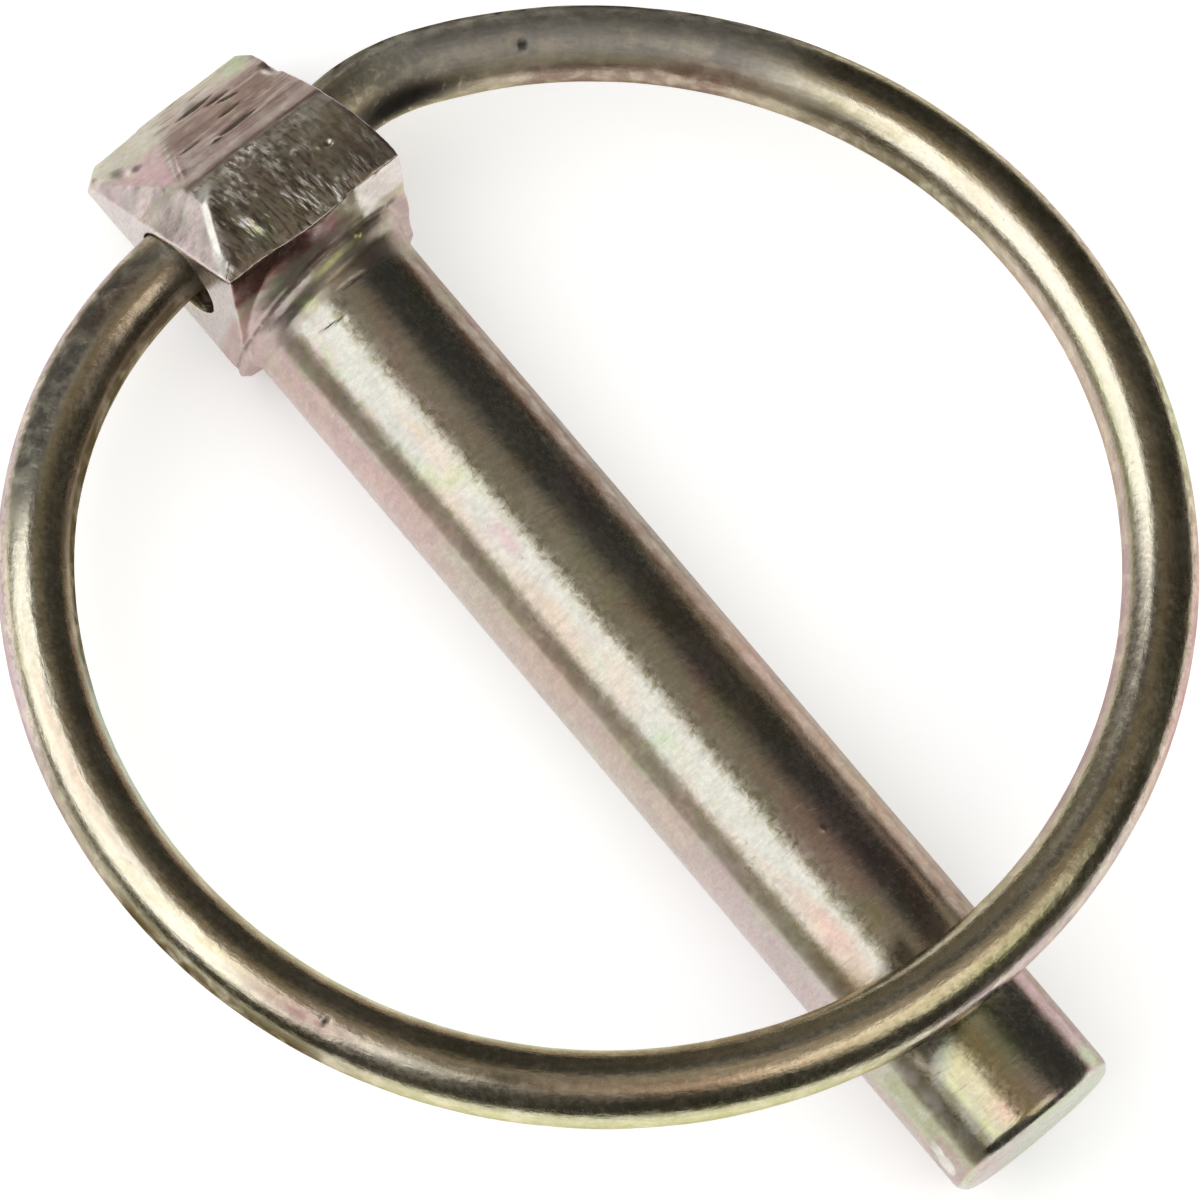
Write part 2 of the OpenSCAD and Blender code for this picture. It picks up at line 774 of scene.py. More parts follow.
@dataclass(frozen=True)
class Passivated:
    """Zinc plated steel with a thin, iridescent yellow passivation.

    Args:
        name: The material's name.
        grain: Which way the fine marks run.
        ground: The shade under the patches.
        gloss: Lowest roughness.
        haze: How much rougher the dull patches are.
        patch: Patches per millimetre.
        bite: Height of the fine marks in millimetres.
        blush: How strongly the pink and green patches show.
        pebble: Height of the fine grain as a share of the bite.
        edge: How much of the coating's shade glancing light picks up.

    DOWN is how the scores on the ground face are stretched.
    """

    DOWN: ClassVar[Triple] = (1.5, 4.6, 1.5)

    name: str
    grain: Grain
    ground: Triple
    gloss: float
    haze: float
    patch: float
    bite: float
    blush: float
    pebble: float
    edge: float

    def make(self) -> bpy.types.Material:
        """Builds the material.

        Returns:
            The material.
        """
        material = bpy.data.materials.new(self.name)
        material.use_nodes = True
        wires = Wiring(material.node_tree)
        place = self.place(wires)
        # Sooty dirt and painted shade in the bore, creases, scars and pits are blended
        # towards near black.
        soot_and_shade = self.soot_and_shade(wires, place)
        colour = wires.blend(soot_and_shade, self.colour(wires, place), Coating.SOOT)
        glance = wires.math("MINIMUM", wires.plus(wires.layer("dull"), self.edge), 1.0)
        shader = wires.add("ShaderNodeBsdfPrincipled")
        shader.inputs["Metallic"].default_value = 1.0
        for name, value in (
            ("Base Color", colour),
            ("Specular Tint", wires.blend(glance, WHITE, colour)),
            ("Roughness", self.roughness(wires, place, soot_and_shade)),
            ("Normal", self.relief(wires, place, soot_and_shade)),
        ):
            wires.feed(shader.inputs[name], value)
        out = wires.add("ShaderNodeOutputMaterial")
        wires.feed(out.inputs["Surface"], shader.outputs[0])
        return material

    def place(self, wires: Wiring) -> Socket:
        """Reads the place on the piece.

        Args:
            wires: The tree's wiring.

        Returns:
            The place in millimetres.
        """
        if self.grain is Grain.ALONG_THE_WIRE:
            return wires.add("ShaderNodeAttribute", attribute_name="wire").outputs["Vector"]
        where = wires.add("ShaderNodeTexCoord").outputs["Object"]
        return wires.stretched(where, (1 / MM, 1 / MM, 1 / MM))

    def soot_and_shade(self, wires: Wiring, place: Socket) -> Socket:
        """Breaks the painted sooty layer, which also holds painted shade, up into a crust.

        Args:
            wires: The tree's wiring.
            place: The place on the piece.

        Returns:
            How strongly the sooty layer and its painted shade darken the surface.
        """
        layer = wires.layer("soot_and_shade")
        crust = wires.plus(wires.noise(place, 2.6, 6.0, 0.5), wires.times(layer, 0.45))
        return wires.times(wires.step(layer, 0.0, 1.0), wires.step(crust, 0.45, 0.72))

    def colour(self, wires: Wiring, place: Socket) -> Socket:
        """Lays out the coating's colour: patches, tint, specks and wear.

        Args:
            wires: The tree's wiring.
            place: The place on the piece.

        Returns:
            The colour.
        """
        wide = wires.stretched(place, self.run())
        shade: object = (*self.ground, 1.0)
        for coat, pitch, start, end, most in (
            (Coating.PINK, 1.0, 0.50, 0.66, self.blush),
            (Coating.GREEN, 1.37, 0.52, 0.68, self.blush),
            (Coating.PEACH, 0.61, 0.53, 0.70, self.blush * 0.73),
            (Coating.GOLD, 2.30, 0.56, 0.74, 0.45),
        ):
            spread = wires.noise(wide, self.patch * pitch, 3.0, 0.6)
            shade = wires.blend(wires.step(spread, start, end, 0.0, most), shade, coat)
        tint = wires.add("ShaderNodeAttribute", attribute_name="tint").outputs
        cloud = wires.step(wires.noise(place, 1.1, 4.0, 0.4), 0.30, 0.60, 0.60, 1.0)
        shade = wires.blend(wires.times(tint["Alpha"], cloud), shade, tint["Color"])
        speck = wires.noise(place, 5.5, 3.0)
        ripple = wires.noise(wires.stretched(place, self.ripples()), 1.0, 3.0, 1.0)
        light = wires.times(
            wires.step(speck, 0.30, 0.70, 0.95, 1.03),
            wires.step(ripple, 0.35, 0.65, 0.93, 1.04),
        )
        shade = wires.blend(1.0, shade, self.grey(wires, light), "MULTIPLY")
        mottle = wires.noise(place, 2.6, 4.0, 0.6)
        streaks = wires.noise(wires.stretched(place, self.DOWN), 1.0, 4.0, 0.1)
        brushing = wires.noise(wires.stretched(place, (4.5, 0.4, 4.5)), 1.0, 4.0, 0.3)
        scored, brushed = wires.layer("scored"), wires.layer("brushed")
        gathered = wires.times(scored, self.clusters(wires, place, 0.15, 1.0))
        for pattern, start, end, most, where, coat in (
            (mottle, 0.48, 0.60, 0.8, wires.layer("mottled"), Coating.OLIVE),
            (streaks, 0.50, 0.58, 1.0, gathered, Coating.SILVER),
            (streaks, 0.50, 0.36, 0.6, scored, Coating.IRON),
            (brushing, 0.50, 0.64, 0.8, brushed, Coating.PLUM),
            (brushing, 0.44, 0.34, 0.8, brushed, Coating.DUSK),
        ):
            share = wires.times(wires.step(pattern, start, end, 0.0, most), where)
            shade = wires.blend(share, shade, coat)
        pits = wires.step(wires.noise(place, 3.1, 5.0, 0.2), 0.69, 0.77, 0.0, 0.5)
        return wires.blend(pits, shade, Coating.LEAD)

    @staticmethod
    def clusters(wires: Wiring, place: Socket, low: float, high: float) -> Socket:
        """Gathers the scores on the ground face into clusters.

        Args:
            wires: The tree's wiring.
            place: The place on the piece.
            low: The strength between the clusters.
            high: The strength in them.

        Returns:
            The strength.
        """
        return wires.step(wires.noise(place, 0.75, 2.0, 0.4), 0.44, 0.60, low, high)

    def run(self) -> Triple:
        """Returns how patches are stretched: longer along the piece."""
        return (0.28 if self.grain is Grain.ALONG_THE_WIRE else 0.45, 1.0, 1.0)

    def ripples(self) -> Triple:
        """Returns how ripples are stretched: across the pin, along the wire."""
        on_wire = self.grain is Grain.ALONG_THE_WIRE
        return (0.9, 4.0, 4.0) if on_wire else (3.4, 1.0, 1.0)

    @staticmethod
    def grey(wires: Wiring, level: Socket) -> Socket:
        """Turns one number into a grey colour.

        Args:
            wires: The tree's wiring.
            level: The number.

        Returns:
            The colour.
        """
        node = wires.add("ShaderNodeCombineColor")
        for socket in node.inputs:
            wires.feed(socket, level)
        return node.outputs[0]

    def roughness(self, wires: Wiring, place: Socket, soot_and_shade: Socket) -> Socket:
        """Works out how rough the surface is.

        Args:
            wires: The tree's wiring.
            place: The place on the piece.
            soot_and_shade: How strongly the sooty layer and its painted shade darken the
                surface.

        Returns:
            The roughness.
        """
        hazy = wires.noise(wires.stretched(place, self.run()), self.patch * 1.9, 4.0, 0.5)
        return wires.plus(
            wires.step(hazy, 0.40, 0.72, self.gloss, self.gloss + self.haze),
            wires.step(wires.noise(place, 4.0, 3.0), 0.35, 0.75, -0.02, 0.06),
            wires.times(wires.layer("dull"), 0.34),
            wires.times(soot_and_shade, 0.35),
        )

    def relief(self, wires: Wiring, place: Socket, soot_and_shade: Socket) -> Socket:
        """Cuts the fine marks: grain, brushing and crust.

        Args:
            wires: The tree's wiring.
            place: The place on the piece.
            soot_and_shade: How strongly the sooty layer and its painted shade darken the
                surface.

        Returns:
            The bumped normal.
        """
        if self.grain is Grain.ALONG_THE_WIRE:
            marks = wires.noise(wires.stretched(place, (1.0, 3.5, 3.5)), 1.6, 4.0, 0.3)
        else:
            marks = self.forged_marks(wires, place)
        height = wires.plus(
            marks,
            wires.times(wires.noise(place, 3.2, 3.0, 0.2), self.pebble),
            wires.times(wires.noise(place, 6.0, 5.0), soot_and_shade, 4.0),
        )
        bump = wires.add("ShaderNodeBump")
        bump.inputs["Strength"].default_value = 1.0
        bump.inputs["Distance"].default_value = self.bite * MM
        wires.feed(bump.inputs["Height"], height)
        return bump.outputs[0]

    def forged_marks(self, wires: Wiring, place: Socket) -> Socket:
        """Lays out the marks of the forging: turned, brushed and scored.

        Args:
            wires: The tree's wiring.
            place: The place on the piece.

        Returns:
            The marks' height.
        """
        turned = wires.noise(wires.stretched(place, (2.9, 0.95, 0.95)), 1.0, 2.5, 1.0)
        calm = wires.math("SUBTRACT", 1.0, wires.times(wires.layer("head"), 0.75))
        marks = wires.times(turned, calm)
        across = wires.noise(wires.stretched(place, (6.0, 0.5, 6.0)), 1.0, 4.0, 0.2)
        down = wires.noise(wires.stretched(place, self.DOWN), 1.0, 4.0, 0.1)
        scoring = self.clusters(wires, place, 1.6, 7.5)
        for layer, pattern, strength in (
            ("brushed", across, 1.2),
            ("scored", down, scoring),
        ):
            level = wires.math("SUBTRACT", pattern, 0.5)
            marks = wires.plus(marks, wires.times(level, strength, wires.layer(layer)))
        return marks


# --------------------------------------------------------------------------
# The pin
# --------------------------------------------------------------------------


@dataclass
class ForgedPin:
    """The pin: block head, hollow neck and round shank, forged in one.

    BAND and BEVEL are the ways that the head's top band and left bevel face,
    FOLD is a point on the folded corner, and NECK_LEAN is how far the neck's
    creases lean.
    """

    BAND: ClassVar[Triple] = (-0.753, 0, 0.658)
    BEVEL: ClassVar[Triple] = (-0.570, -0.495, 0.656)
    FOLD: ClassVar[Triple] = (-10.95, -0.60, -1.00)
    NECK_LEAN: ClassVar[float] = 0.09

    shank_radius: float = 3.97
    shank_length: float = 44.2
    tip_round: float = 0.6
    head_top: float = -11.6
    head_left: float = -4.45
    head_right: float = 4.65
    head_front: float = 5.67
    head_back: float = -4.0
    nose_at: float = -2.668
    under_at: float = -0.696
    back_cut: float = 2.03
    widest_edge: float = 0.7
    neck_radius: float = 2.7
    hinge_at: Triple = (-6.1, 0.0, 0.5)
    bore_skew: float = 5.0
    bore_radius: float = 1.65
    mouth_radius: float = 1.83
    mouth_deep: float = 1.18
    mouth_length: float = 5.0
    skin_grid: float = 0.085
    skin_rounds: int = 7
    most_triangles: int = 190_000

    def build(self, finish: Passivated) -> Piece:
        """Makes the whole pin.

        Args:
            finish: What it is coated with.

        Returns:
            The finished piece.
        """
        block = self.block()
        shank = self.turning()
        Bench.take(block, shank)
        bpy.ops.object.join()
        block.name = "forged_pin"
        Bench.skin(block, self.skin_grid, self.skin_rounds)
        self.wear(block)
        Bench.thin(block, self.most_triangles)
        self.paint(block)
        Bench.finish(block)
        block.data.materials.clear()
        block.data.materials.append(finish.make())
        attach(block, "pin")
        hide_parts("pin")
        return block

    def sides(self) -> Iterator[tuple[Triple, Triple]]:
        """Yields the cuts that run along the whole head, and the neck.

        Returns:
            For each cut, a point on it and the way to the waste.
        """
        yield (0, self.head_left, 0), (0, -1, 0)
        yield (0, self.head_right, 0), (0, 1, 0)
        yield (0, 0, self.head_front), (0, 0, 1)
        yield (0, 0, self.head_back), (0, 0, -1)
        low, steep, flat = self.head_back, 0.919, 0.395
        for edge, way in ((self.head_left, -1.0), (self.head_right, 1.0)):
            yield (0, edge, low + self.back_cut), (0, way * steep, -flat)
            yield (0, edge - way * self.back_cut, low), (0, way * flat, -steep)

    def facets(self) -> Iterator[tuple[Triple, Triple]]:
        """Yields the cuts that shape the front and the top of the block.

        Returns:
            For each cut, a point on it and the way to the waste.
        """
        nose = (self.nose_at, self.head_left, self.head_front)
        rear = (self.head_top, 0, -1.78)
        yield (self.head_top, 0, 0), (-1, 0, 0)
        yield (self.under_at, 0, 0), (1, 0, 0)
        yield rear, self.BAND
        x, z = -7.54, self.head_back + 6.87
        for slope, run in ((42, 0.94), (37, 1.0), (30, 1.0), (21, 1.0), (13, 0.0)):
            lean = math.radians(slope)
            yield (x, 0, z), (-math.sin(lean), 0, math.cos(lean))
            x, z = x + run, z + run * math.tan(lean)
        yield (self.nose_at, 0, self.head_front), (0.950, 0, 0.3125)
        yield rear, (-0.827, 0, -0.562)
        yield (self.head_top, -3.36, 0), (-0.803, -0.596, 0)
        yield (self.head_top, 4.20, 0), (-0.617, 0.787, 0)
        yield nose, self.BEVEL
        yield self.FOLD, (-0.767, -0.068, 0.640)

    def block(self) -> Piece:
        """Cuts the head's block, eases its edges and drills it.

        Returns:
            The block.
        """
        spare = Vector((1, 1, 1))
        low = Vector((self.head_top, self.head_left, self.head_back)) - spare
        high = Vector((self.under_at, self.head_right, self.head_front)) + spare
        bpy.ops.mesh.primitive_cube_add(
            size=1, location=(low + high) / 2, scale=high - low
        )
        block = Bench.started("head_block")
        for point, outward in (*self.sides(), *self.facets()):
            Bench.cut(block, point, outward)
        Bench.ease(block, self.easing, self.widest_edge)
        self.drill(block)
        return block

    def easing(self, middle: Vector, fold: float) -> float:
        """Gives the width that an edge of the block is eased by.

        Args:
            middle: The middle of the edge.
            fold: The edge's fold in degrees.

        Returns:
            The width in millimetres.
        """
        nearly_flat, shallow = 2, 12
        if fold < nearly_flat:
            return 0.0
        if abs(middle.x - self.nose_at) < 0.2 and middle.z > self.head_front - 0.27:
            return 0.06
        if middle.y > self.head_right - 0.25 and middle.z > -1 and middle.x < -3:
            return self.widest_edge
        if middle.x < self.head_top + 0.6:
            return 0.4
        return 0.28 if fold > shallow else 0.5

    def drill(self, block: Piece) -> None:
        """Drills the cross bore and opens its two mouths.

        Args:
            block: The head's block.
        """
        skew = math.radians(self.bore_skew)
        way = Vector((-math.sin(skew), math.cos(skew), 0))
        side = Vector((math.cos(skew), math.sin(skew), 0))
        hinge = Vector(self.hinge_at)
        long = 2 * self.mouth_length
        out = self.mouth_length - self.mouth_deep
        worn = side * 0.74 + Vector((0, 0, 0.45))
        for middle, radius, length in (
            (hinge, self.bore_radius, 2 * long),
            (hinge + way * (self.head_right + out), self.mouth_radius, long),
            (hinge + way * (self.head_left - out) + worn, self.mouth_radius, long),
        ):
            bpy.ops.mesh.primitive_cylinder_add(
                vertices=64,
                radius=radius,
                depth=length,
                location=middle,
                rotation=(math.radians(-90), 0, skew),
            )
            Bench.drill(block, Bench.started("bit"))

    def turning(self) -> Piece:
        """Turns the shank and the hollow neck from one profile.

        Returns:
            The turned shape.
        """
        tip = self.shank_length - self.tip_round
        rim = self.shank_radius + self.neck_radius
        start = math.asin(-self.nose_at / self.neck_radius)
        neck_steps, tip_steps = 12, 8
        profile = [(self.nose_at, 0.0)]
        for step in range(neck_steps + 1):
            turn = start * (1 - step / neck_steps)
            along = -self.neck_radius * math.sin(turn)
            profile.append((along, rim - self.neck_radius * math.cos(turn)))
        profile.append((tip, self.shank_radius))
        for step in range(1, tip_steps + 1):
            turn = math.radians(90 * step / tip_steps)
            drop = self.tip_round * (1 - math.cos(turn))
            along = tip + self.tip_round * math.sin(turn)
            profile.append((along, self.shank_radius - drop))
        profile.append((self.shank_length, 0.0))
        shape = self.spun("shank", profile)
        for point, outward in self.sides():
            Bench.cut(shape, point, outward)
        return shape

    @staticmethod
    def spun(name: str, profile: Sequence[Pair]) -> Piece:
        """Spins a profile round the shank's axis.

        Args:
            name: The shape's name.
            profile: Pairs of place along the axis and radius.

        Returns:
            The closed shape.
        """
        start = (profile[0][0], 0.0, profile[0][1])
        bpy.ops.mesh.primitive_plane_add(size=0.1, location=start)
        shape = Bench.started(name)
        Bench.open_up(shape)
        bpy.ops.mesh.merge(type="CENTER")
        for before, after in zip(profile, profile[1:]):
            move = (after[0] - before[0], 0.0, after[1] - before[1])
            bpy.ops.mesh.extrude_region_move(TRANSFORM_OT_translate={"value": move})
        bpy.ops.mesh.select_all(action="SELECT")
        bpy.ops.mesh.spin(steps=192, angle=math.tau, center=(0, 0, 0), axis=(1, 0, 0))
        bpy.ops.mesh.select_all(action="SELECT")
        bpy.ops.mesh.remove_doubles(threshold=0.001)
        Bench.close_up()
        return shape

    def scars(self) -> list[Mark]:
        """Lists the gouges, dents and burrs on the head and the tip.

        Returns:
            The marks.
        """
        across, down = (0, 1, 0), (0.75, 0, 0.66)
        return [
            Mark((-10.55, 1.0, -0.6), across, 1.3, 0.16, 0.10),
            Mark((-10.25, 1.9, -0.25), across, 0.9, 0.13, 0.08),
            Mark((-9.95, 2.2, 0.1), (0.2, 1, 0.2), 0.7, 0.12, 0.09),
            Mark((-9.35, 1.7, 0.8), across, 0.8, 0.12, 0.08),
            Mark((-8.55, 1.25, 1.72), across, 1.4, 0.17, 0.12),
            Mark((-8.52, 0.2, 1.76), across, 0.45, 0.18, -0.07),
            Mark((-9.0, -0.7, 1.2), across, 0.9, 0.10, 0.05),
            Mark((-9.9, 4.5, 0.2), down, 0.9, 0.6, 0.17),
            Mark((-10.1, -3.3, -0.35), down, 0.9, 0.55, 0.14),
            Mark((-10.9, -4.2, -1.2), (0.6, 0.5, 0.6), 0.6, 0.35, 0.10),
            Mark((-5.12, -3.12, 4.70), (2.6, -1.73, 1.5), 2.3, 0.42, -0.15),
            Mark((-4.25, -1.80, 5.16), (0.9, -0.05, 0.43), 1.1, 0.32, -0.12),
            Mark((-4.55, -2.45, 5.02), (0.9, -0.1, 0.43), 0.9, 0.35, 0.06),
            Mark((-6.20, 1.58, 4.02), down, 0.50, 0.16, -0.06),
            Mark((-5.60, 1.62, 4.46), down, 0.35, 0.15, -0.06),
            Mark((-4.90, 1.55, 4.88), down, 0.35, 0.15, -0.06),
            Mark((-5.18, 2.45, 4.71), down, 0.35, 0.15, -0.07),
            Mark((-4.08, 1.58, 5.24), down, 0.30, 0.15, -0.05),
            Mark((-3.50, 2.05, 5.45), down, 0.25, 0.14, -0.05),
            Mark((-5.17, -1.30, 4.72), down, 0.30, 0.15, -0.06),
            Mark((-5.19, -0.82, 4.70), down, 0.30, 0.16, -0.07),
            Mark((-3.22, -3.80, 5.50), (0.9, 0, 0.3), 0.40, 0.26, -0.07),
            Mark((-5.02, 2.86, 4.81), down, 0.24, 0.22, 0.12),
            Mark((-8.6, -1.65, 1.6), (2.3, -1.4, 2.6), 2.2, 0.14, -0.06),
            Mark((-6.2, 0.6, 3.9), down, 0.5, 0.13, 0.08),
            Mark((-5.4, 2.1, 4.5), down, 0.6, 0.14, 0.07),
            Mark((-6.6, 2.6, 3.6), down, 0.4, 0.16, 0.08),
            Mark((-5.6, -1.4, 4.3), (0.6, 0.4, 0.6), 0.7, 0.14, 0.06),
            Mark((-1.35, 1.55, 4.12), (0.4, 0.8, 0.3), 0.5, 0.16, -0.10),
            Mark((-0.05, 0.2, 3.95), across, 1.9, 0.11, 0.08),
            Mark((0.92, -1.60, 3.62), (0.36, 2.48, 1.17), 1.30, 0.09, 0.06),
            Mark((42.9, -3.95, 0.5), (1, 0, 0.3), 0.7, 0.4, 0.09),
            Mark((44.1, -3.2, 0.8), (0, 0.5, 1), 0.6, 0.3, 0.12),
            Mark((43.9, 2.0, -3.0), (0, 1, 0.5), 0.9, 0.3, 0.12),
            Mark((29.5, 0.2, 3.97), (1, 0.2, 0), 0.22, 0.16, -0.03),
            Mark((13.3, -1.9, 3.5), (1, 0.5, 0), 0.2, 0.14, 0.03),
        ]

    def collar(self, points: Points) -> Points:
        """Gives the depth of the creases round the hollow neck.

        Args:
            points: The vertices.

        Returns:
            Depths; the bead between the creases is proud.
        """
        x, y, z = points.T
        out = np.hypot(y, z)
        on_neck = ramp_of(out, 3.6, 3.9) * ramp_of(out, 5.9, 5.2)
        lean = x + self.NECK_LEAN * y
        first = line_of(lean, -1.50, 0.22) * 0.06
        bead = line_of(lean, -1.10, 0.30) * -0.05
        second = line_of(lean, -0.62, 0.26) * 0.04
        return (first + bead + second) * on_neck * ramp_of(z, -3.0, -2.0)

    def wear(self, pin: Piece) -> None:
        """Presses in the creases, scars and unevenness of the forging.

        Args:
            pin: The skinned pin.
        """
        points = Bench.corners(pin)
        depths = self.collar(points)
        for scar in self.scars():
            depths = depths + scar.depths(points)
        Bench.press(pin, depths, "scars")
        x, y, z = Bench.corners(pin).T
        hinge_x, _, hinge_z = self.hinge_at
        off_axis = ramp_of(np.hypot(y, z - hinge_z), 2.0, 3.0)
        near_bore = bump_of(np.hypot(x - hinge_x, z - hinge_z), 2.6)
        clear = 1 - np.clip(near_bore * 3, 0, 1)
        head = ramp_of(x, -0.3, -1.6) * off_axis * clear
        nose = bump_of(np.hypot(x - self.nose_at, z - self.head_front), 0.45)
        shank = ramp_of(x, -0.5, 1.5)
        for size, height, where in (
            (2.6, 0.06, head),
            (0.7, 0.016, head),
            (0.35, 0.09, nose),
            (3.5, 0.03, shank),
        ):
            Bench.roughen(pin, size, height, where)

    def paint(self, pin: Piece) -> None:
        """Shades the coating: by face on the head, by side on the shank.

        Args:
            pin: The worn pin.
        """
        paint = Paint(pin)
        self.paint_head(paint)
        self.paint_neck(paint)
        self.paint_shank(paint)
        # The faces inside the cross bore are darkened as painted shade, and deep, narrow
        # scars with sooty dirt and painted shade.
        across = paint.points[:, ::2] - np.array(self.hinge_at)[::2]
        flat = paint.facing[:, ::2]
        bore = ramp_of(np.linalg.norm(across, axis=1), 2.3, 2.0)
        inward = np.linalg.norm(flat, axis=1) * bore
        toward = (flat * across).sum(axis=1) < 0
        paint.add("soot_and_shade", ramp_of(inward, 0.5, 0.8) * toward)
        for scar in self.scars():
            if scar.holds_soot_and_shade():
                paint.add("soot_and_shade", scar.weights(paint.points) * 0.7)
        paint.store()

    def paint_head(self, paint: Paint) -> None:
        """Shades the block: mauve band, olive front, lilac sides, and a painted highlight
        and painted shadow along the ridge by the nose.

        Args:
            paint: The pin's paint.
        """
        points, facing = paint.points, paint.facing
        x, y, z = points.T
        head = ramp_of(x, -1.6, -2.2)
        band = head * ramp_of(facing @ np.array(self.BAND), 0.90, 0.97)
        band = band * ramp_of(x, -7.0, -7.4)
        front = head * ramp_of(facing @ np.array((-0.45, 0, 0.893)), 0.87, 0.93)
        front = front * ramp_of(x, -7.4, -7.1)
        left = head * ramp_of(-facing[:, 1], 0.6, 0.85)
        right = head * ramp_of(facing[:, 1], 0.20, 0.45)
        bevel = head * ramp_of(facing @ np.array(self.BEVEL), 0.92, 0.97)
        crease = y - self.FOLD[1] + 0.613 * (x - self.FOLD[0])
        beyond = band * ramp_of(crease, 0.1, -0.2)
        corner = beyond * ramp_of(x, -9.9, -10.4)
        nose = bump_of(np.hypot(x - self.nose_at, z - self.head_front), 0.16)
        nose_end = np.array((self.nose_at, self.head_left, self.head_front))
        past = (points - nose_end) @ np.array((0.114, 0.742, 0.660))
        # A painted highlight along the ridge by the nose, with its painted shadow just past
        # it.
        ridge_highlight = head * window(past, -0.42, 0.06, 0.06)
        ridge_highlight = ridge_highlight * window(x, -7.0, -3.1, 0.2) * ramp_of(z, 3.0, 3.4)
        shadow = head * window(past, 0.16, 0.50, 0.08) * window(x, -6.8, -3.3, 0.2)
        rim = head * window(x, -8.0, -7.6, 0.08) * ramp_of(facing[:, 2], 0.5, 0.6)
        edge = head * ramp_of(y, 4.25, 4.45) * ramp_of(facing[:, 2], 0.3, 0.6)
        centre = front * window(y, -2.4, 2.0, 1.0) * window(x, -7.2, -4.4, 0.6)
        paint.coat(
            (Coating.LILAC, left * 0.8),
            (Coating.DUSK, band * 0.6),
            (Coating.PLUM, band * ramp_of(x, -11.0, -10.3) * 0.95),
            (Coating.MAUVE, band * ramp_of(x, -9.6, -8.6) * ramp_of(y, 3.0, 1.0) * 0.75),
            (Coating.PLUM, band * ramp_of(x, -9.0, -8.3) * 0.45),
            (Coating.COPPER, band * ramp_of(y, 0.8, 2.6) * ramp_of(x, -10.6, -9.8) * 0.35),
            (Coating.PINK, beyond * 0.8),
            (Coating.GREEN, corner * 0.45),
            (Coating.CREAM, corner * 0.35),
            (Coating.GREEN, head * spot_of(points, (-8.75, -4.0, 1.5), 0.9) * 0.7),
            (Coating.CREAM, band * line_of(crease, 0, 0.13) * ramp_of(y, -2.6, -2.2) * 0.8),
            (Coating.GREEN, head * ramp_of(x, -10.6, -11.0) * ramp_of(y, 2.6, 3.4) * 0.8),
            (Coating.PINK, bevel * 0.85),
            (Coating.LILAC, bevel * 0.4),
            (Coating.SILVER, (bevel + left) * 0.14),
            (Coating.GOLD, front * 0.75),
            (Coating.OLIVE, front * 0.5),
            (Coating.PEACH, front * 0.35),
            (Coating.BRONZE, front * ramp_of(x, -5.6, -7.0) * 0.6),
            (Coating.LIME, front * spot_of(points, (-3.9, -1.95, 5.3), 1.1) * 0.9),
            (Coating.IRON, front * ramp_of(y, 1.6, 3.6) * ramp_of(x, -5.2, -3.6) * 0.5),
            (Coating.COPPER, centre * 0.4),
            (Coating.MAUVE, edge * 0.9),
            (Coating.PINK, right * ramp_of(x, -2.5, -4.0) * 0.7),
            # The ridge's painted shadow, then its painted highlight.
            (Coating.IRON, shadow * 0.6),
            (Coating.SILVER, ridge_highlight),
            (Coating.SILVER, nose * 0.9),
            (Coating.DUSK, rim * 0.8),
        )
        smooth = ramp_of(y, 2.2, 2.8) * ramp_of(x, -10.3, -10.8)
        brushed = band * (1 - 0.8 * rim) * ramp_of(crease, -0.6, 0.3)
        paint.add("head", head)
        # A dark spot in the notch at the back corner: painted shade.
        paint.add("soot_and_shade", head * spot_of(points, (-10.04, -2.75, 0.0), 0.55) * 0.6)
        paint.add("dull", front * 0.35, band * 0.35)
        paint.add("brushed", brushed * (1 - 0.7 * smooth))
        paint.add("scored", front * (1 - ridge_highlight) * (1 - 0.5 * ramp_of(y, 1.8, 2.8)))

    def paint_neck(self, paint: Paint) -> None:
        """Shades the nose's underside and the creases of the neck.

        Args:
            paint: The pin's paint.
        """
        points, facing = paint.points, paint.facing
        x, y, z = points.T
        out = np.hypot(y, z)
        lean = x + self.NECK_LEAN * y
        under = ramp_of(facing[:, 0], 0.5, 0.8) * ramp_of(x, -0.9, -1.3)
        under = under * ramp_of(z, 3.2, 3.9)
        neck = ramp_of(x, 0.3, -0.3) * ramp_of(x, -2.3, -1.9) * ramp_of(out, 5.4, 5.0)
        open_neck = neck * (1 - under)
        groove = open_neck * window(x, -1.75, -1.2, 0.2) * ramp_of(z, 2.6, 3.6)
        bead = line_of(lean, -1.15, 0.22) * ramp_of(z, 3.4, 3.8)
        crease = line_of(lean, -1.50, 0.16) * ramp_of(out, 5.4, 4.8)
        crease = crease * ramp_of(out, 3.8, 4.0)
        paint.coat(
            # Burgundy and bronze under the nose: the underside's own tint, painted darker
            # as the shade beneath the overhanging nose.
            (Coating.BURGUNDY, under * ramp_of(y, 2.4, 2.1) * 0.95),
            (Coating.BRONZE, under * window(y, 0.9, 2.2, 0.2) * 0.95),
            (Coating.SILVER, under * ramp_of(y, 2.1, 2.4)),
            (Coating.PINK, under * ramp_of(y, 2.1, 2.4) * 0.25),
            (Coating.PINK, under * spot_of(points, (-2.40, -0.07, 5.0), 0.6)),
            (Coating.PINK, open_neck * 0.8),
            (Coating.DUSK, open_neck * ramp_of(z, 2.4, 3.4) * 0.7),
            (Coating.OLIVE, open_neck * ramp_of(z, 3.0, 3.8) * 0.4),
            # Plum in the groove behind the nose: painted shade.
            (Coating.PLUM, groove * 0.6),
            (Coating.LIME, bead * ramp_of(y, -1.6, -0.8) * ramp_of(y, 1.9, 1.5)),
            (Coating.GOLD, spot_of(points, (-1.45, 1.60, 4.05), 0.5)),
            (Coating.OLIVE, line_of(lean, -0.60, 0.2) * ramp_of(z, 2.0, 3.0) * 0.6),
        )
        paint.add("dull", neck * 0.4)
        # The neck's deepest crease is darkened as painted shade.
        paint.add("soot_and_shade", crease * 0.45)

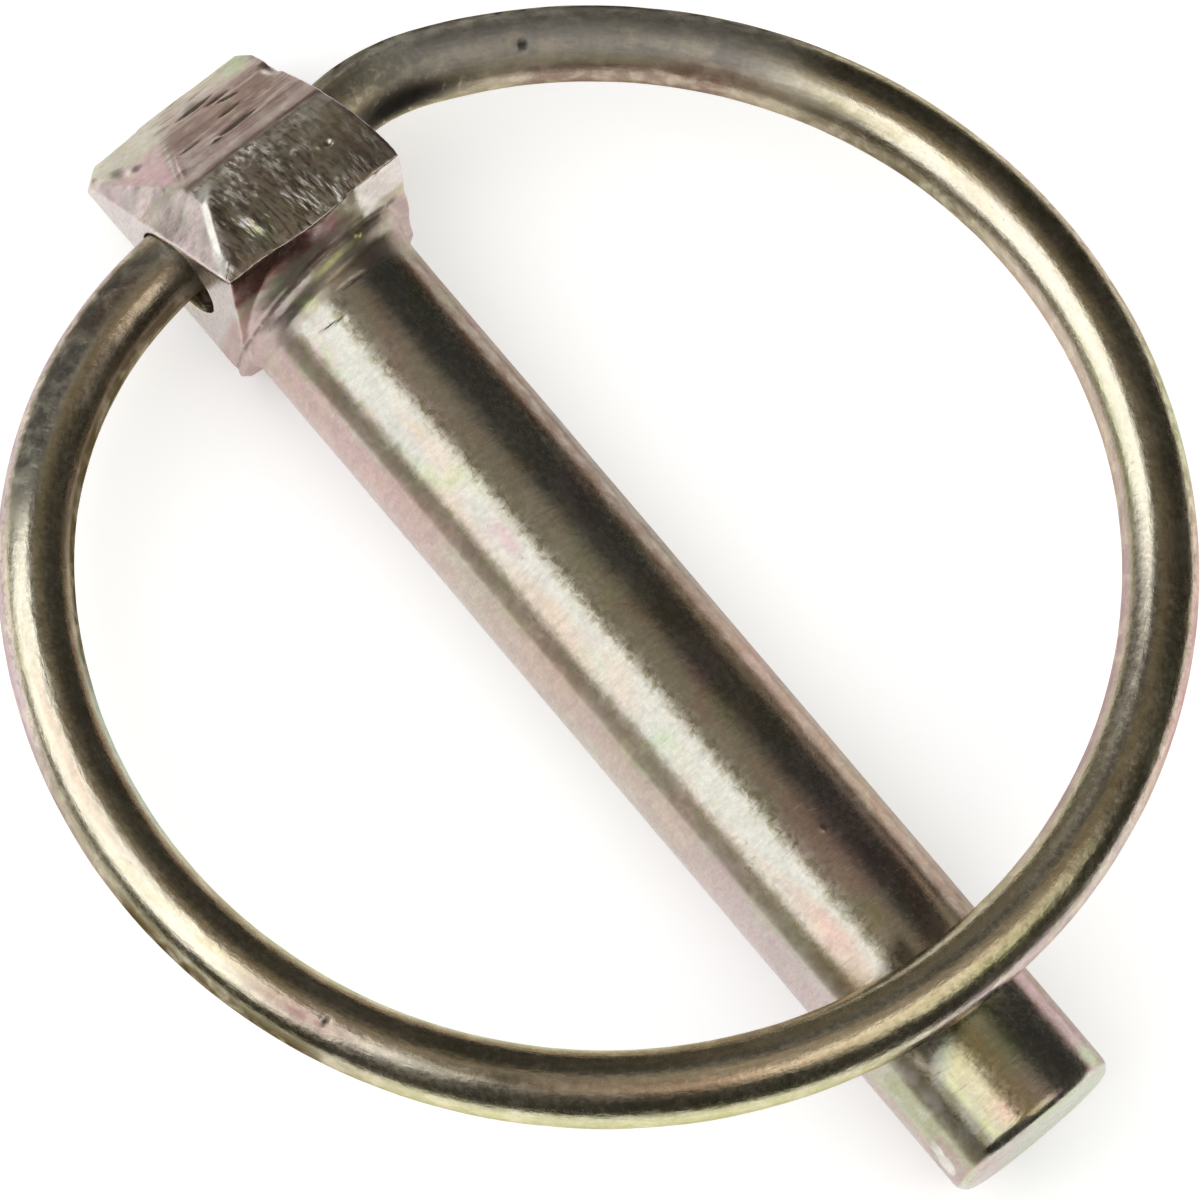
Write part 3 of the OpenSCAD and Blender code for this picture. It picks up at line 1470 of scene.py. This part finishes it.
    def paint_shank(self, paint: Paint) -> None:
        """Shades the shank by its side, in degrees, and its end, with painted shade and
        painted dark reflections along the side.

        Args:
            paint: The pin's paint.
        """
        points, facing = paint.points, paint.facing
        x, y, z = points.T
        side = np.degrees(np.arctan2(y, z))
        shank = ramp_of(x, -0.8, 0.6) * ramp_of(facing[:, 0], 0.6, 0.3)
        low = shank * ramp_of(side, -58, -64)
        late = shank * ramp_of(x, 37.5, 39.5)
        shaded = shank * window(x + 0.03 * side, 34.6, 38.9, 0.5) * window(side, -52, -2, 5)
        end = ramp_of(facing[:, 0], 0.6, 0.9) * ramp_of(x, 40, 43)
        under_tip = shank * ramp_of(x, 41.4, 42.2) * ramp_of(side, -62, -72)
        chip = patch_of(x, side, (42.9, -84), (0.9, 12))
        flake = patch_of(x, side, (42.2, -80), (0.5, 8))
        gleam = line_of(side - 0.12 * x, 9, 2.2) * window(x, 5, 34, 4)
        streak = line_of(side, 71, 3.0) * window(x, 20.5, 25, 1)

        def stripe(start: float, stop: float, soft: float) -> Points:
            """Weighs the shank's side between two angles."""
            return shank * window(side, start, stop, soft)

        def patch(at: Pair, size: Pair) -> Points:
            """Weighs an oval patch on the shank's side."""
            return shank * patch_of(x, side, at, size)

        paint.coat(
            (Coating.DUSK, low * 0.9),
            (Coating.PINK, low * ramp_of(x, 14, 5) * 0.55),
            (Coating.LILAC, low * window(x, 27, 37, 3) * 0.6),
            # The copper stripe below the highlight, the olive one along its upper edge, and
            # the copper, dusk, plum and bronze stripes on the far side are painted shade
            # and painted dark reflections.
            (Coating.COPPER, stripe(-61, -42, 4) * 0.85),
            (Coating.OLIVE, stripe(-21, -10, 4) * 0.45),
            (Coating.OLIVE, stripe(-12, 6, 5) * 0.35),
            (Coating.COPPER, stripe(32, 60, 6)),
            (Coating.DUSK, stripe(62, 84, 5) * 0.9),
            (Coating.PLUM, stripe(56, 70, 4) * 0.6),
            (Coating.BRONZE, stripe(8, 36, 7) * 0.5),
            (Coating.GOLD, shank * gleam * 0.3),
            (Coating.PEACH, shank * streak),
            (Coating.IRON, patch((0.45, -12), (0.55, 11)) * 0.8),
            (
                Coating.LIME,
                ramp_of(x, -1.2, -0.6) * patch_of(x, side, (-0.45, -27), (0.8, 9)) * 0.9,
            ),
            (Coating.PINK, patch((0.5, -32), (0.9, 10)) * 0.6),
            (Coating.PEACH, stripe(40, 70, 6) * window(x, 19, 34, 3) * 0.35),
            (Coating.PINK, stripe(40, 84, 6) * ramp_of(x, 36, 38) * 0.6),
            (Coating.GOLD, late * window(side, -44, -4, 5) * 0.8),
            (Coating.LIME, late * window(side, -48, -34, 4) * 0.7),
            # Bronze and near black just past the ring: the ring's painted shadow and
            # painted reflection on the shank.
            (Coating.BRONZE, shaded),
            (Coating.SOOT, shaded * 0.6),
            (Coating.GREEN, late * window(side, -80, -50, 4) * 0.9),
            # Olive and bronze near the tip cut the lamp's highlight short: painted shade.
            (Coating.OLIVE, late * window(side, -77, -50, 6) * 0.65),
            (Coating.BRONZE, late * window(side, -62, -39, 3) * 0.9),
            (Coating.MAUVE, under_tip * 0.85),
            (Coating.PEACH, patch((43.0, -22), (1.0, 14))),
            (Coating.GREEN, patch((43.3, 50), (0.9, 16))),
            (Coating.MAUVE, end * 0.7),
            (Coating.GREEN, end * ramp_of(y, -2.2, -0.2) * 0.8),
            (Coating.SILVER, shank * ramp_of(chip + flake, 0.3, 0.5) * 0.75),
            (Coating.LIME, patch((24, -33), (6, 9)) * 0.3),
        )
        paint.add("dull", stripe(-60, -49, 4) * 0.35, stripe(54, 74, 5) * 0.5)
        # The mottle darkens both edges of the lamp's highlight: painted shade.
        paint.add("mottled", stripe(-52, -42, 4), stripe(-21, -12, 4))


# --------------------------------------------------------------------------
# The ring
# --------------------------------------------------------------------------


@dataclass(frozen=True)
class StraightWire:
    """The ring's wire as if pulled straight, measured at each vertex.

    Args:
        rows: Length along the wire, place across it outwards, and place
            above its middle.
        turn: Angle round the ring in degrees.
        side: Angle round the wire in degrees: 0 outwards, 90 on top.

    HIGHLIGHT_WAY is the way that the middle of the main lamp's highlight faces on the wire:
    ahead, aside and up.
    """

    HIGHLIGHT_WAY: ClassVar[Triple] = (-0.091, -0.490, 0.867)

    rows: Points
    turn: Points
    side: Points

    def near(self, turn: float, side: float, long: float, wide: float) -> Points:
        """Weighs a patch on the wire.

        Args:
            turn: The patch's angle round the ring.
            side: Its angle round the wire.
            long: Half its length, in degrees round the ring.
            wide: Half its width, in degrees round the wire.

        Returns:
            Weights from 0 to 1.
        """
        across = (self.side - side + 180) % 360 - 180
        return patch_of(self.turn, across, (turn, 0.0), (long, wide))

    def belt(self, turns: Triple, sides: Triple) -> Points:
        """Weighs a stretch of one side of the wire.

        Args:
            turns: Its start, end and softness round the ring.
            sides: Its start, end and softness round the wire.

        Returns:
            Weights from 0 to 1.
        """
        return window(self.turn, *turns) * window(self.side, *sides)

    def from_highlight_line(self) -> Points:
        """Measures round the wire from the line where the main lamp's highlight falls.

        Returns:
            Angles in degrees. Near 0 the wire is left pale as a painted highlight.
        """
        turn = np.radians(self.turn)
        ahead, aside, up = self.HIGHLIGHT_WAY
        out = ahead * np.cos(turn) + aside * np.sin(turn)
        rack = np.degrees(np.arctan2(up, out))
        return (self.side - rack + 180) % 360 - 180

    def store(self, ring: Piece) -> None:
        """Keeps the wire's places on the ring for its material."""
        layer = ring.data.attributes.new("wire", "FLOAT_VECTOR", "POINT")
        layer.data.foreach_set("vector", self.rows.astype(np.float32).ravel())


@dataclass
class WireRing:
    """The spring ring: one wire bent round, its ends in the head's bore."""

    wire_radius: float = 1.59
    ring_radius: float = 22.84
    reach: float = 21.34
    shift: float = -1.2
    left_bend: float = 18.139
    right_bend: float = 8.1092
    end_gap: float = 0.637
    hinge_at: Triple = (-6.1, 0.0, 0.5)
    skew: float = 5.0
    pitch: float = 7.45238
    sides: int = 56
    step: float = 0.22

    def build(self, finish: Passivated) -> Piece:
        """Bends the wire, wears it and seats it at the hinge.

        Args:
            finish: What it is coated with.

        Returns:
            The finished piece.
        """
        ring = self.bent()
        wire = self.straightened(ring)
        self.wear(ring, wire)
        self.paint(ring, wire)
        wire.store(ring)
        self.seat(ring)
        Bench.finish(ring)
        ring.data.materials.clear()
        ring.data.materials.append(finish.make())
        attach(ring, "ring")
        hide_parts("ring")
        return ring

    def bend_centre(self, radius: float, way: float) -> Pair:
        """Finds the centre of an end bend.

        Args:
            radius: The bend's radius.
            way: -1 for the left end, 1 for the right end.

        Returns:
            The centre's place in the flat ring.
        """
        off = math.sqrt((self.ring_radius - radius) ** 2 - (self.reach - radius) ** 2)
        return radius, self.shift + way * off

    def bend_turn(self, radius: float) -> float:
        """Returns the angle that an end bend turns through, in radians."""
        return math.acos((self.reach - radius) / (self.ring_radius - radius))

    def bent(self) -> Piece:
        """Draws the wire out from its left end to its right end.

        Returns:
            The flat ring, closed at both ends.
        """
        left_centre = self.bend_centre(self.left_bend, -1)
        right_centre = self.bend_centre(self.right_bend, 1)
        left, right = self.bend_turn(self.left_bend), self.bend_turn(self.right_bend)
        bpy.ops.mesh.primitive_circle_add(
            vertices=self.sides,
            radius=self.wire_radius,
            location=(0, -self.end_gap, 0),
            rotation=(math.radians(90), 0, 0),
        )
        ring = Bench.started("wire_ring")
        Bench.open_up(ring)
        self.draw_out(left_centre[1] + self.end_gap)
        for turn, centre, radius in (
            (left, left_centre, self.left_bend),
            (math.tau - left - right, (self.reach, self.shift), self.ring_radius),
            (right, right_centre, self.right_bend),
        ):
            self.spin_on(turn, centre, radius)
        self.draw_out(self.end_gap - right_centre[1])
        bpy.ops.mesh.select_all(action="DESELECT")
        bpy.ops.mesh.select_non_manifold()
        bpy.ops.mesh.edge_face_add()
        Bench.close_up()
        return ring

    def draw_out(self, length: float) -> None:
        """Extrudes the selected loop along the hinge, in short steps.

        Args:
            length: How far.
        """
        steps = max(int(abs(length) / self.step), 1)
        move = {"value": (0, length / steps, 0)}
        for _ in range(steps):
            bpy.ops.mesh.extrude_region_move(TRANSFORM_OT_translate=move)

    def spin_on(self, turn: float, centre: Pair, radius: float) -> None:
        """Spins the selected loop on round a bend.

        Args:
            turn: The angle in radians.
            centre: The bend's centre.
            radius: The bend's radius.
        """
        bpy.ops.mesh.spin(
            steps=max(int(turn * radius / self.step), 2),
            angle=-turn,
            center=(*centre, 0),
            axis=(0, 0, 1),
        )

    def straightened(self, ring: Piece) -> StraightWire:
        """Measures each vertex in the straightened wire.

        Args:
            ring: The flat ring.

        Returns:
            The straightened wire.
        """
        x, y, z = Bench.corners(ring).T
        turn = np.arctan2(y - self.shift, x - self.reach)
        out = np.hypot(y - self.shift, x - self.reach) - self.ring_radius
        for radius, way in ((self.left_bend, -1.0), (self.right_bend, 1.0)):
            cx, cy = self.bend_centre(radius, way)
            swing = math.pi - self.bend_turn(radius)
            on_bend = (way * turn > swing) & (way * (y - cy) > 0)
            out = np.where(on_bend, np.hypot(x - cx, y - cy) - radius, out)
            in_bore = (way * turn > 0) & (x < 3) & (way * (y - cy) <= 0)
            out = np.where(in_bore, -x, out)
        rows = np.c_[turn * self.ring_radius, out, z]
        return StraightWire(rows, np.degrees(turn), np.degrees(np.arctan2(z, out)))

    def wear(self, ring: Piece, wire: StraightWire) -> None:
        """Dents, pits and roughens the wire outside the bore.

        Args:
            ring: The flat ring.
            wire: The straightened wire.
        """
        depths = sum(
            wire.near(*patch) * depth
            for *patch, depth in (
                (142.6, 110, 0.7, 16, 0.10),
                (-73.7, 71, 0.5, 12, 0.07),
                (-12.0, 66, 0.35, 9, 0.05),
                (-15.5, 60, 0.3, 9, 0.05),
                (129.0, 165, 6.0, 26, 0.05),
                (43.0, 58, 5.0, 22, 0.04),
                (-120.0, 80, 4.0, 20, 0.03),
            )
        )
        Bench.press(ring, depths, "pits")
        open_air = ramp_of(np.abs(Bench.corners(ring)[:, 0]), 0.3, 1.5)
        open_air = np.where(np.abs(wire.turn) < 90, 1.0, open_air)
        Bench.roughen(ring, 2.2, 0.035, open_air)
        crust = wire.near(156, 160, 11, 60) + wire.near(-162, 140, 8, 50) * 0.5
        Bench.roughen(ring, 0.30, 0.16, np.clip(crust, 0, 1) * open_air)

    def paint(self, ring: Piece, wire: StraightWire) -> None:
        """Shades the coating along and round the wire.

        Args:
            ring: The flat ring.
            wire: The straightened wire.
        """
        paint = Paint(ring)
        # Away from the main lamp's highlight the wire turns gold, then bronze: painted
        # shade that narrows the highlight and gives it golden edges.
        off_highlight = np.abs(wire.from_highlight_line() - 4)
        paint.tint(Coating.GOLD, ramp_of(off_highlight, 10, 22) * 0.7)
        paint.tint(Coating.BRONZE, ramp_of(off_highlight, 20, 36) * 0.55)
        self.paint_rims(paint, wire)
        self.paint_sides(paint, wire)
        self.paint_spots(paint, wire)
        mottled = window(wire.side, 24, 72, 8) * ramp_of(off_highlight, 26, 34)
        paint.add("mottled", mottled * 0.7)
        paint.store()

    @staticmethod
    def paint_rims(paint: Paint, wire: StraightWire) -> None:
        """Shades the wire's outer and inner side, stretch by stretch, with painted dark
        reflections on parts of the outer rim.

        Args:
            paint: The ring's paint.
            wire: The straightened wire.
        """
        off_outward = np.abs(wire.side)
        outer, inner = ramp_of(off_outward, 44, 32), ramp_of(off_outward, 138, 150)
        for rim, shade, start, stop, soft, share in (
            (outer, Coating.LILAC, -175, -98, 8, 0.9),
            # Olive and bronze on the outer rim of the left stretch: painted dark
            # reflections.
            (outer, Coating.OLIVE, -112, -98, 6, 0.6),
            (outer, Coating.BRONZE, -101, -70, 6, 1.0),
            (outer, Coating.LIME, -66, -20, 8, 0.7),
            (outer, Coating.PINK, 18, 50, 10, 0.9),
            (outer, Coating.GREEN, 52, 66, 6, 0.7),
            (outer, Coating.LILAC, 70, 98, 8, 0.7),
            # Iron on the outer rim of the top stretch: a painted dark reflection.
            (outer, Coating.IRON, 106, 170, 6, 1.0),
            (inner, Coating.SEA, -135, -95, 10, 0.9),
            (inner, Coating.GREEN, -85, -40, 10, 0.8),
            (inner, Coating.OLIVE, -38, -4, 8, 0.7),
            (inner, Coating.LILAC, 6, 60, 8, 0.9),
            (inner, Coating.MAUVE, 6, 84, 6, 0.6),
            (inner, Coating.DUSK, 45, 80, 8, 0.7),
            (inner, Coating.BRONZE, 86, 114, 5, 0.9),
            (inner, Coating.PLUM, 116, 146, 6, 0.9),
        ):
            paint.tint(shade, rim * window(wire.turn, start, stop, soft) * share)

    @staticmethod
    def paint_sides(paint: Paint, wire: StraightWire) -> None:
        """Shades the brown stretches and the grey, crusted ends of the wire, with painted
        shade and painted dark reflections where highlights and the floor's reflection would
        spread.

        Args:
            paint: The ring's paint.
            wire: The straightened wire.
        """
        # Iron-dark along the outer side of the top stretch: a painted dark reflection.
        dark_reflection = wire.belt((113, 170, 5), (20, 60, 8))
        grey = wire.belt((114, 160, 6), (48, 132, 12))
        inward = window(np.abs(wire.side), 149, 180, 6)
        inside = window(wire.turn, -174, -120, 5) * inward
        crusted = wire.belt((-172, -138, 6), (36, 88, 8))
        paint.coat(
            # The olive belts along the outer side and the bronze over the right end's
            # highlight: painted shade and painted dark reflection.
            (Coating.OLIVE, wire.belt((-112, -66, 8), (22, 42, 5)) * 0.85),
            (Coating.OLIVE, wire.belt((-66, 6, 8), (20, 42, 5)) * 0.45),
            (Coating.BRONZE, wire.belt((101, 114, 3), (114, 145, 6)) * 0.6),
            (Coating.IRON, dark_reflection),
            (Coating.ZINC, grey * 0.9),
            (Coating.LEAD, grey * 0.35),
            (Coating.COPPER, wire.belt((-180, -150, 5), (92, 150, 12)) * 0.4),
            (Coating.BRONZE, inside * 0.95),
            (Coating.IRON, crusted * 0.9),
            (Coating.SOOT, crusted * 0.35),
            (Coating.BRONZE, wire.belt((-172, -138, 6), (126, 150, 6)) * 0.8),
            # Gold over the edge of the right end's highlight: painted shade.
            (Coating.GOLD, wire.belt((98, 112, 4), (112, 136, 6)) * 0.7),
        )
        paint.add("soot_and_shade", crusted * 0.4)
        paint.add(
            "dull",
            dark_reflection,
            grey,
            wire.belt((108, 152, 6), (130, 150, 8)),
            wire.belt((-178, -140, 6), (44, 92, 8)) * 0.4,
            window(wire.turn, -182, -172, 4) * 0.8,
            inside * 0.6,
        )

    @staticmethod
    def paint_spots(paint: Paint, wire: StraightWire) -> None:
        """Shades the single spots on the wire, among them a painted highlight and painted
        shade, and darkens its pits and the stretches by the head.

        Args:
            paint: The ring's paint.
            wire: The straightened wire.
        """
        for shade, turn, side, long, wide, share in (
            (Coating.RUST, 122, 140, 13, 26, 0.95),
            (Coating.BURGUNDY, -76, 64, 14, 34, 0.9),
            (Coating.OLIVE, -60, 110, 20, 45, 0.5),
            # Bronze over the main lamp's highlight: painted shade.
            (Coating.BRONZE, -54, 72, 24, 30, 0.95),
            (Coating.PEACH, -112, 68, 26, 14, 0.8),
            # Silver and peach where the small lamp's highlight falls near the left end:
            # painted highlight.
            (Coating.SILVER, -162, 113, 14, 17, 0.9),
            (Coating.PEACH, -162, 113, 15, 19, 0.8),
            (Coating.RUST, -164, 80, 7, 24, 0.8),
            (Coating.RUST, -172, 56, 4, 18, 0.8),
            (Coating.PEACH, -36, 68, 22, 20, 0.9),
            (Coating.LIME, 0, 56, 22, 16, 0.9),
            (Coating.LIME, 60, 136, 30, 14, 0.8),
            (Coating.BRONZE, 162, 92, 9, 42, 0.7),
        ):
            paint.tint(shade, wire.near(turn, side, long, wide) * share)
        outer = ramp_of(np.abs(wire.side), 44, 32)
        paint.tint(Coating.LILAC, outer * window(wire.turn, -12, 18, 6) * 0.8)
        # Pits and the stretches by the head are darkened: painted shade, with sooty dirt.
        for turn, side, long, wide, share in (
            (157, 156, 13, 52, 1.0),
            (160, 90, 12, 70, 0.4),
            (-172, 120, 9, 80, 0.5),
            (142.6, 110, 0.8, 18, 0.9),
            (-73.7, 71, 0.6, 13, 0.9),
        ):
            paint.add("soot_and_shade", wire.near(turn, side, long, wide) * share)

    def seat(self, ring: Piece) -> None:
        """Pitches the flat ring up and sets it on the hinge.

        Args:
            ring: The flat ring.
        """
        Bench.take(ring)
        ring.matrix_world = (
            Matrix.Translation(self.hinge_at)
            @ Matrix.Rotation(math.radians(self.skew), 4, "Z")
            @ Matrix.Rotation(math.radians(-self.pitch), 4, "Y")
        )
        Bench.sink()


# --------------------------------------------------------------------------
# The studio
# --------------------------------------------------------------------------


@dataclass(frozen=True)
class SoftBox:
    """A soft lamp that faces the object.

    Args:
        name: Its name.
        azimuth: Degrees round from +X towards +Y.
        height: Degrees above the floor.
        distance: Metres from the object.
        width: Metres across.
        depth: Metres up and down.
        level: Radiance of its face.
        colour: Its colour.
        roll: Degrees that it is rolled, right side up.
    """

    name: str
    azimuth: float
    height: float
    distance: float
    width: float
    depth: float
    level: float
    colour: Triple
    roll: float = 0.0

    def hang(self, target: Vector) -> Piece:
        """Hangs the lamp.

        Args:
            target: What it faces.

        Returns:
            The lamp.
        """
        turn, rise = math.radians(self.azimuth), math.radians(self.height)
        flat = math.cos(rise)
        way = Vector((flat * math.cos(turn), flat * math.sin(turn), math.sin(rise)))
        data = bpy.data.lights.new(self.name, "AREA")
        data.shape = "RECTANGLE"
        data.size = self.width
        data.size_y = self.depth
        data.energy = self.level * self.width * self.depth * math.pi
        data.color = self.colour
        lamp = bpy.data.objects.new(self.name, data)
        across = Vector((0, 0, 1)).cross(way).normalized()
        stand = Matrix((across, way.cross(across), way)).transposed().to_4x4()
        roll = Matrix.Rotation(math.radians(self.roll), 4, "Z")
        lamp.matrix_world = Matrix.Translation(target + way * self.distance) @ stand @ roll
        bpy.context.scene.collection.objects.link(lamp)
        return lamp


@dataclass
class Studio:
    """A pale floor, a dim room, soft lamps and the camera.

    The card is the pale part of the floor that reflections see: ways out from
    its middle, with how far it reaches each way. The glows are soft lights in
    the dim room: where they are, where they start and end, and their colour.
    """

    middle: float = 0.016
    floor_at: float = -0.00402
    floor_size: float = 2.4
    paper: Triple = (0.90, 0.90, 0.895)
    dark_bench: Triple = (0.05, 0.045, 0.035)
    dim_room: Triple = (0.034, 0.032, 0.028)
    fill: float = 0.74
    glows: tuple[tuple[Triple, float, float, Triple], ...] = (
        ((0.04, -0.03, 1.0), 0.80, 0.95, (0.24, 0.195, 0.14)),
        ((-0.93, 0.22, 0.26), 0.86, 0.96, (0.11, 0.095, 0.07)),
    )
    camera_at: Triple = (0.08221, -0.133702, 0.466417)
    camera_target: Triple = (0.016015, 0.000464, 0.0)
    camera_up: Triple = (-0.75513, 0.59374, 0.27796)
    lens: float = 360.0
    card: tuple[tuple[Triple, float], ...] = (
        ((0.0, -1.0, 0.0), 0.050),
        ((1.0, 0.0, 0.0), 0.080),
        ((-0.64, 0.77, 0.0), 0.036),
    )
    boxes: tuple[SoftBox, ...] = (
        SoftBox("main box", -123, 38, 0.60, 0.78, 0.69, 1.34, (0.98, 1.0, 1.02), 14.0),
        SoftBox("small box", 20, 59, 0.70, 0.42, 0.44, 0.88, (1.0, 0.94, 0.82)),
    )

    def build(self) -> None:
        """Sets up the whole studio."""
        self.floor()
        self.room()
        for box in self.boxes:
            box.hang(Vector((self.middle, 0, 0)))
        self.camera()
        bpy.context.scene.view_settings.view_transform = "Standard"

    def floor(self) -> None:
        """Lays the pale floor."""
        Bench.put_down()
        bpy.ops.mesh.primitive_plane_add(
            size=self.floor_size, location=(self.middle, 0, self.floor_at)
        )
        floor = Bench.started("floor")
        material = bpy.data.materials.new("pale floor")
        material.use_nodes = True
        wires = Wiring(material.node_tree)
        paper = wires.add("ShaderNodeBsdfDiffuse")
        rays = wires.add("ShaderNodeLightPath")
        bench = wires.times(self.off_card(wires), rays.outputs["Is Glossy Ray"])
        colour = wires.blend(bench, (*self.paper, 1.0), (*self.dark_bench, 1.0))
        wires.feed(paper.inputs["Color"], colour)
        glow = wires.add("ShaderNodeEmission")
        glow.inputs["Color"].default_value = WHITE
        on_card = wires.math("SUBTRACT", rays.outputs["Is Glossy Ray"], bench)
        lift = wires.times(rays.outputs["Is Camera Ray"], 0.28)
        wires.feed(glow.inputs["Strength"], wires.plus(lift, wires.times(on_card, 0.25)))
        both = wires.add("ShaderNodeAddShader")
        wires.feed(both.inputs[0], paper.outputs[0])
        wires.feed(both.inputs[1], glow.outputs[0])
        out = wires.add("ShaderNodeOutputMaterial")
        wires.feed(out.inputs["Surface"], both.outputs[0])
        floor.data.materials.append(material)

    def off_card(self, wires: Wiring) -> Socket:
        """Finds where the floor lies beyond the pale card under the object.

        Args:
            wires: The floor's wiring.

        Returns:
            0 on the card, 1 on the dark bench round it.
        """
        place = wires.add("ShaderNodeTexCoord").outputs["Object"]
        reach: object = -1.0
        for way, limit in self.card:
            past = wires.math("SUBTRACT", wires.facing(place, way), limit)
            reach = wires.math("MAXIMUM", reach, past)
        return wires.step(reach, -0.005, 0.005)

    def room(self) -> None:
        """Fills the world: white to the eye, a dim room in reflections."""
        world = bpy.data.worlds.new("room")
        bpy.context.scene.world = world
        world.use_nodes = True
        wires = Wiring(world.node_tree)
        way = wires.add("ShaderNodeTexCoord").outputs["Generated"]
        dim: object = (*self.dim_room, 1.0)
        for toward, start, end, glow in self.glows:
            share = wires.facing(way, Vector(toward).normalized())
            dim = wires.blend(wires.step(share, start, end), dim, (*glow, 1.0))
        rays = wires.add("ShaderNodeLightPath").outputs
        back = wires.add("ShaderNodeBackground")
        wires.feed(back.inputs["Color"], wires.blend(rays["Is Glossy Ray"], WHITE, dim))
        seen = wires.math("MAXIMUM", rays["Is Camera Ray"], rays["Is Glossy Ray"])
        wires.feed(back.inputs["Strength"], wires.math("MAXIMUM", self.fill, seen))
        out = wires.add("ShaderNodeOutputWorld")
        wires.feed(out.inputs["Surface"], back.outputs[0])

    def camera(self) -> None:
        """Places the camera."""
        data = bpy.data.cameras.new("camera")
        data.lens = self.lens
        data.sensor_width = 36.0
        data.clip_start, data.clip_end = 0.01, 20.0
        camera = bpy.data.objects.new("camera", data)
        eye, target = Vector(self.camera_at), Vector(self.camera_target)
        back = (eye - target).normalized()
        right = Vector(self.camera_up).cross(back).normalized()
        turn = Matrix((right, back.cross(right), back)).transposed()
        camera.matrix_world = Matrix.Translation(eye) @ turn.to_4x4()
        bpy.context.scene.collection.objects.link(camera)
        bpy.context.scene.camera = camera


PIN_FINISH = Passivated(
    name="passivated pin",
    grain=Grain.ROUND_THE_SHANK,
    ground=(0.63, 0.61, 0.535),
    gloss=0.235,
    haze=0.08,
    patch=0.34,
    bite=0.0135,
    blush=0.75,
    pebble=0.22,
    edge=0.0,
)
RING_FINISH = Passivated(
    name="passivated wire",
    grain=Grain.ALONG_THE_WIRE,
    ground=(0.92, 0.84, 0.66),
    gloss=0.23,
    haze=0.08,
    patch=0.35,
    bite=0.012,
    blush=0.15,
    pebble=0.6,
    edge=0.8,
)


def main() -> None:
    """Builds the pin, the ring and the studio, and keeps the boxes."""
    logging.basicConfig(level=logging.INFO, format="%(name)s: %(message)s")
    Bench.put_down()
    for builder, finish in ((ForgedPin(), PIN_FINISH), (WireRing(), RING_FINISH)):
        piece = builder.build(finish)
        log.info("%s: %d faces", piece.name, len(piece.data.polygons))
    Studio().build()


if __name__ == "__main__":
    main()
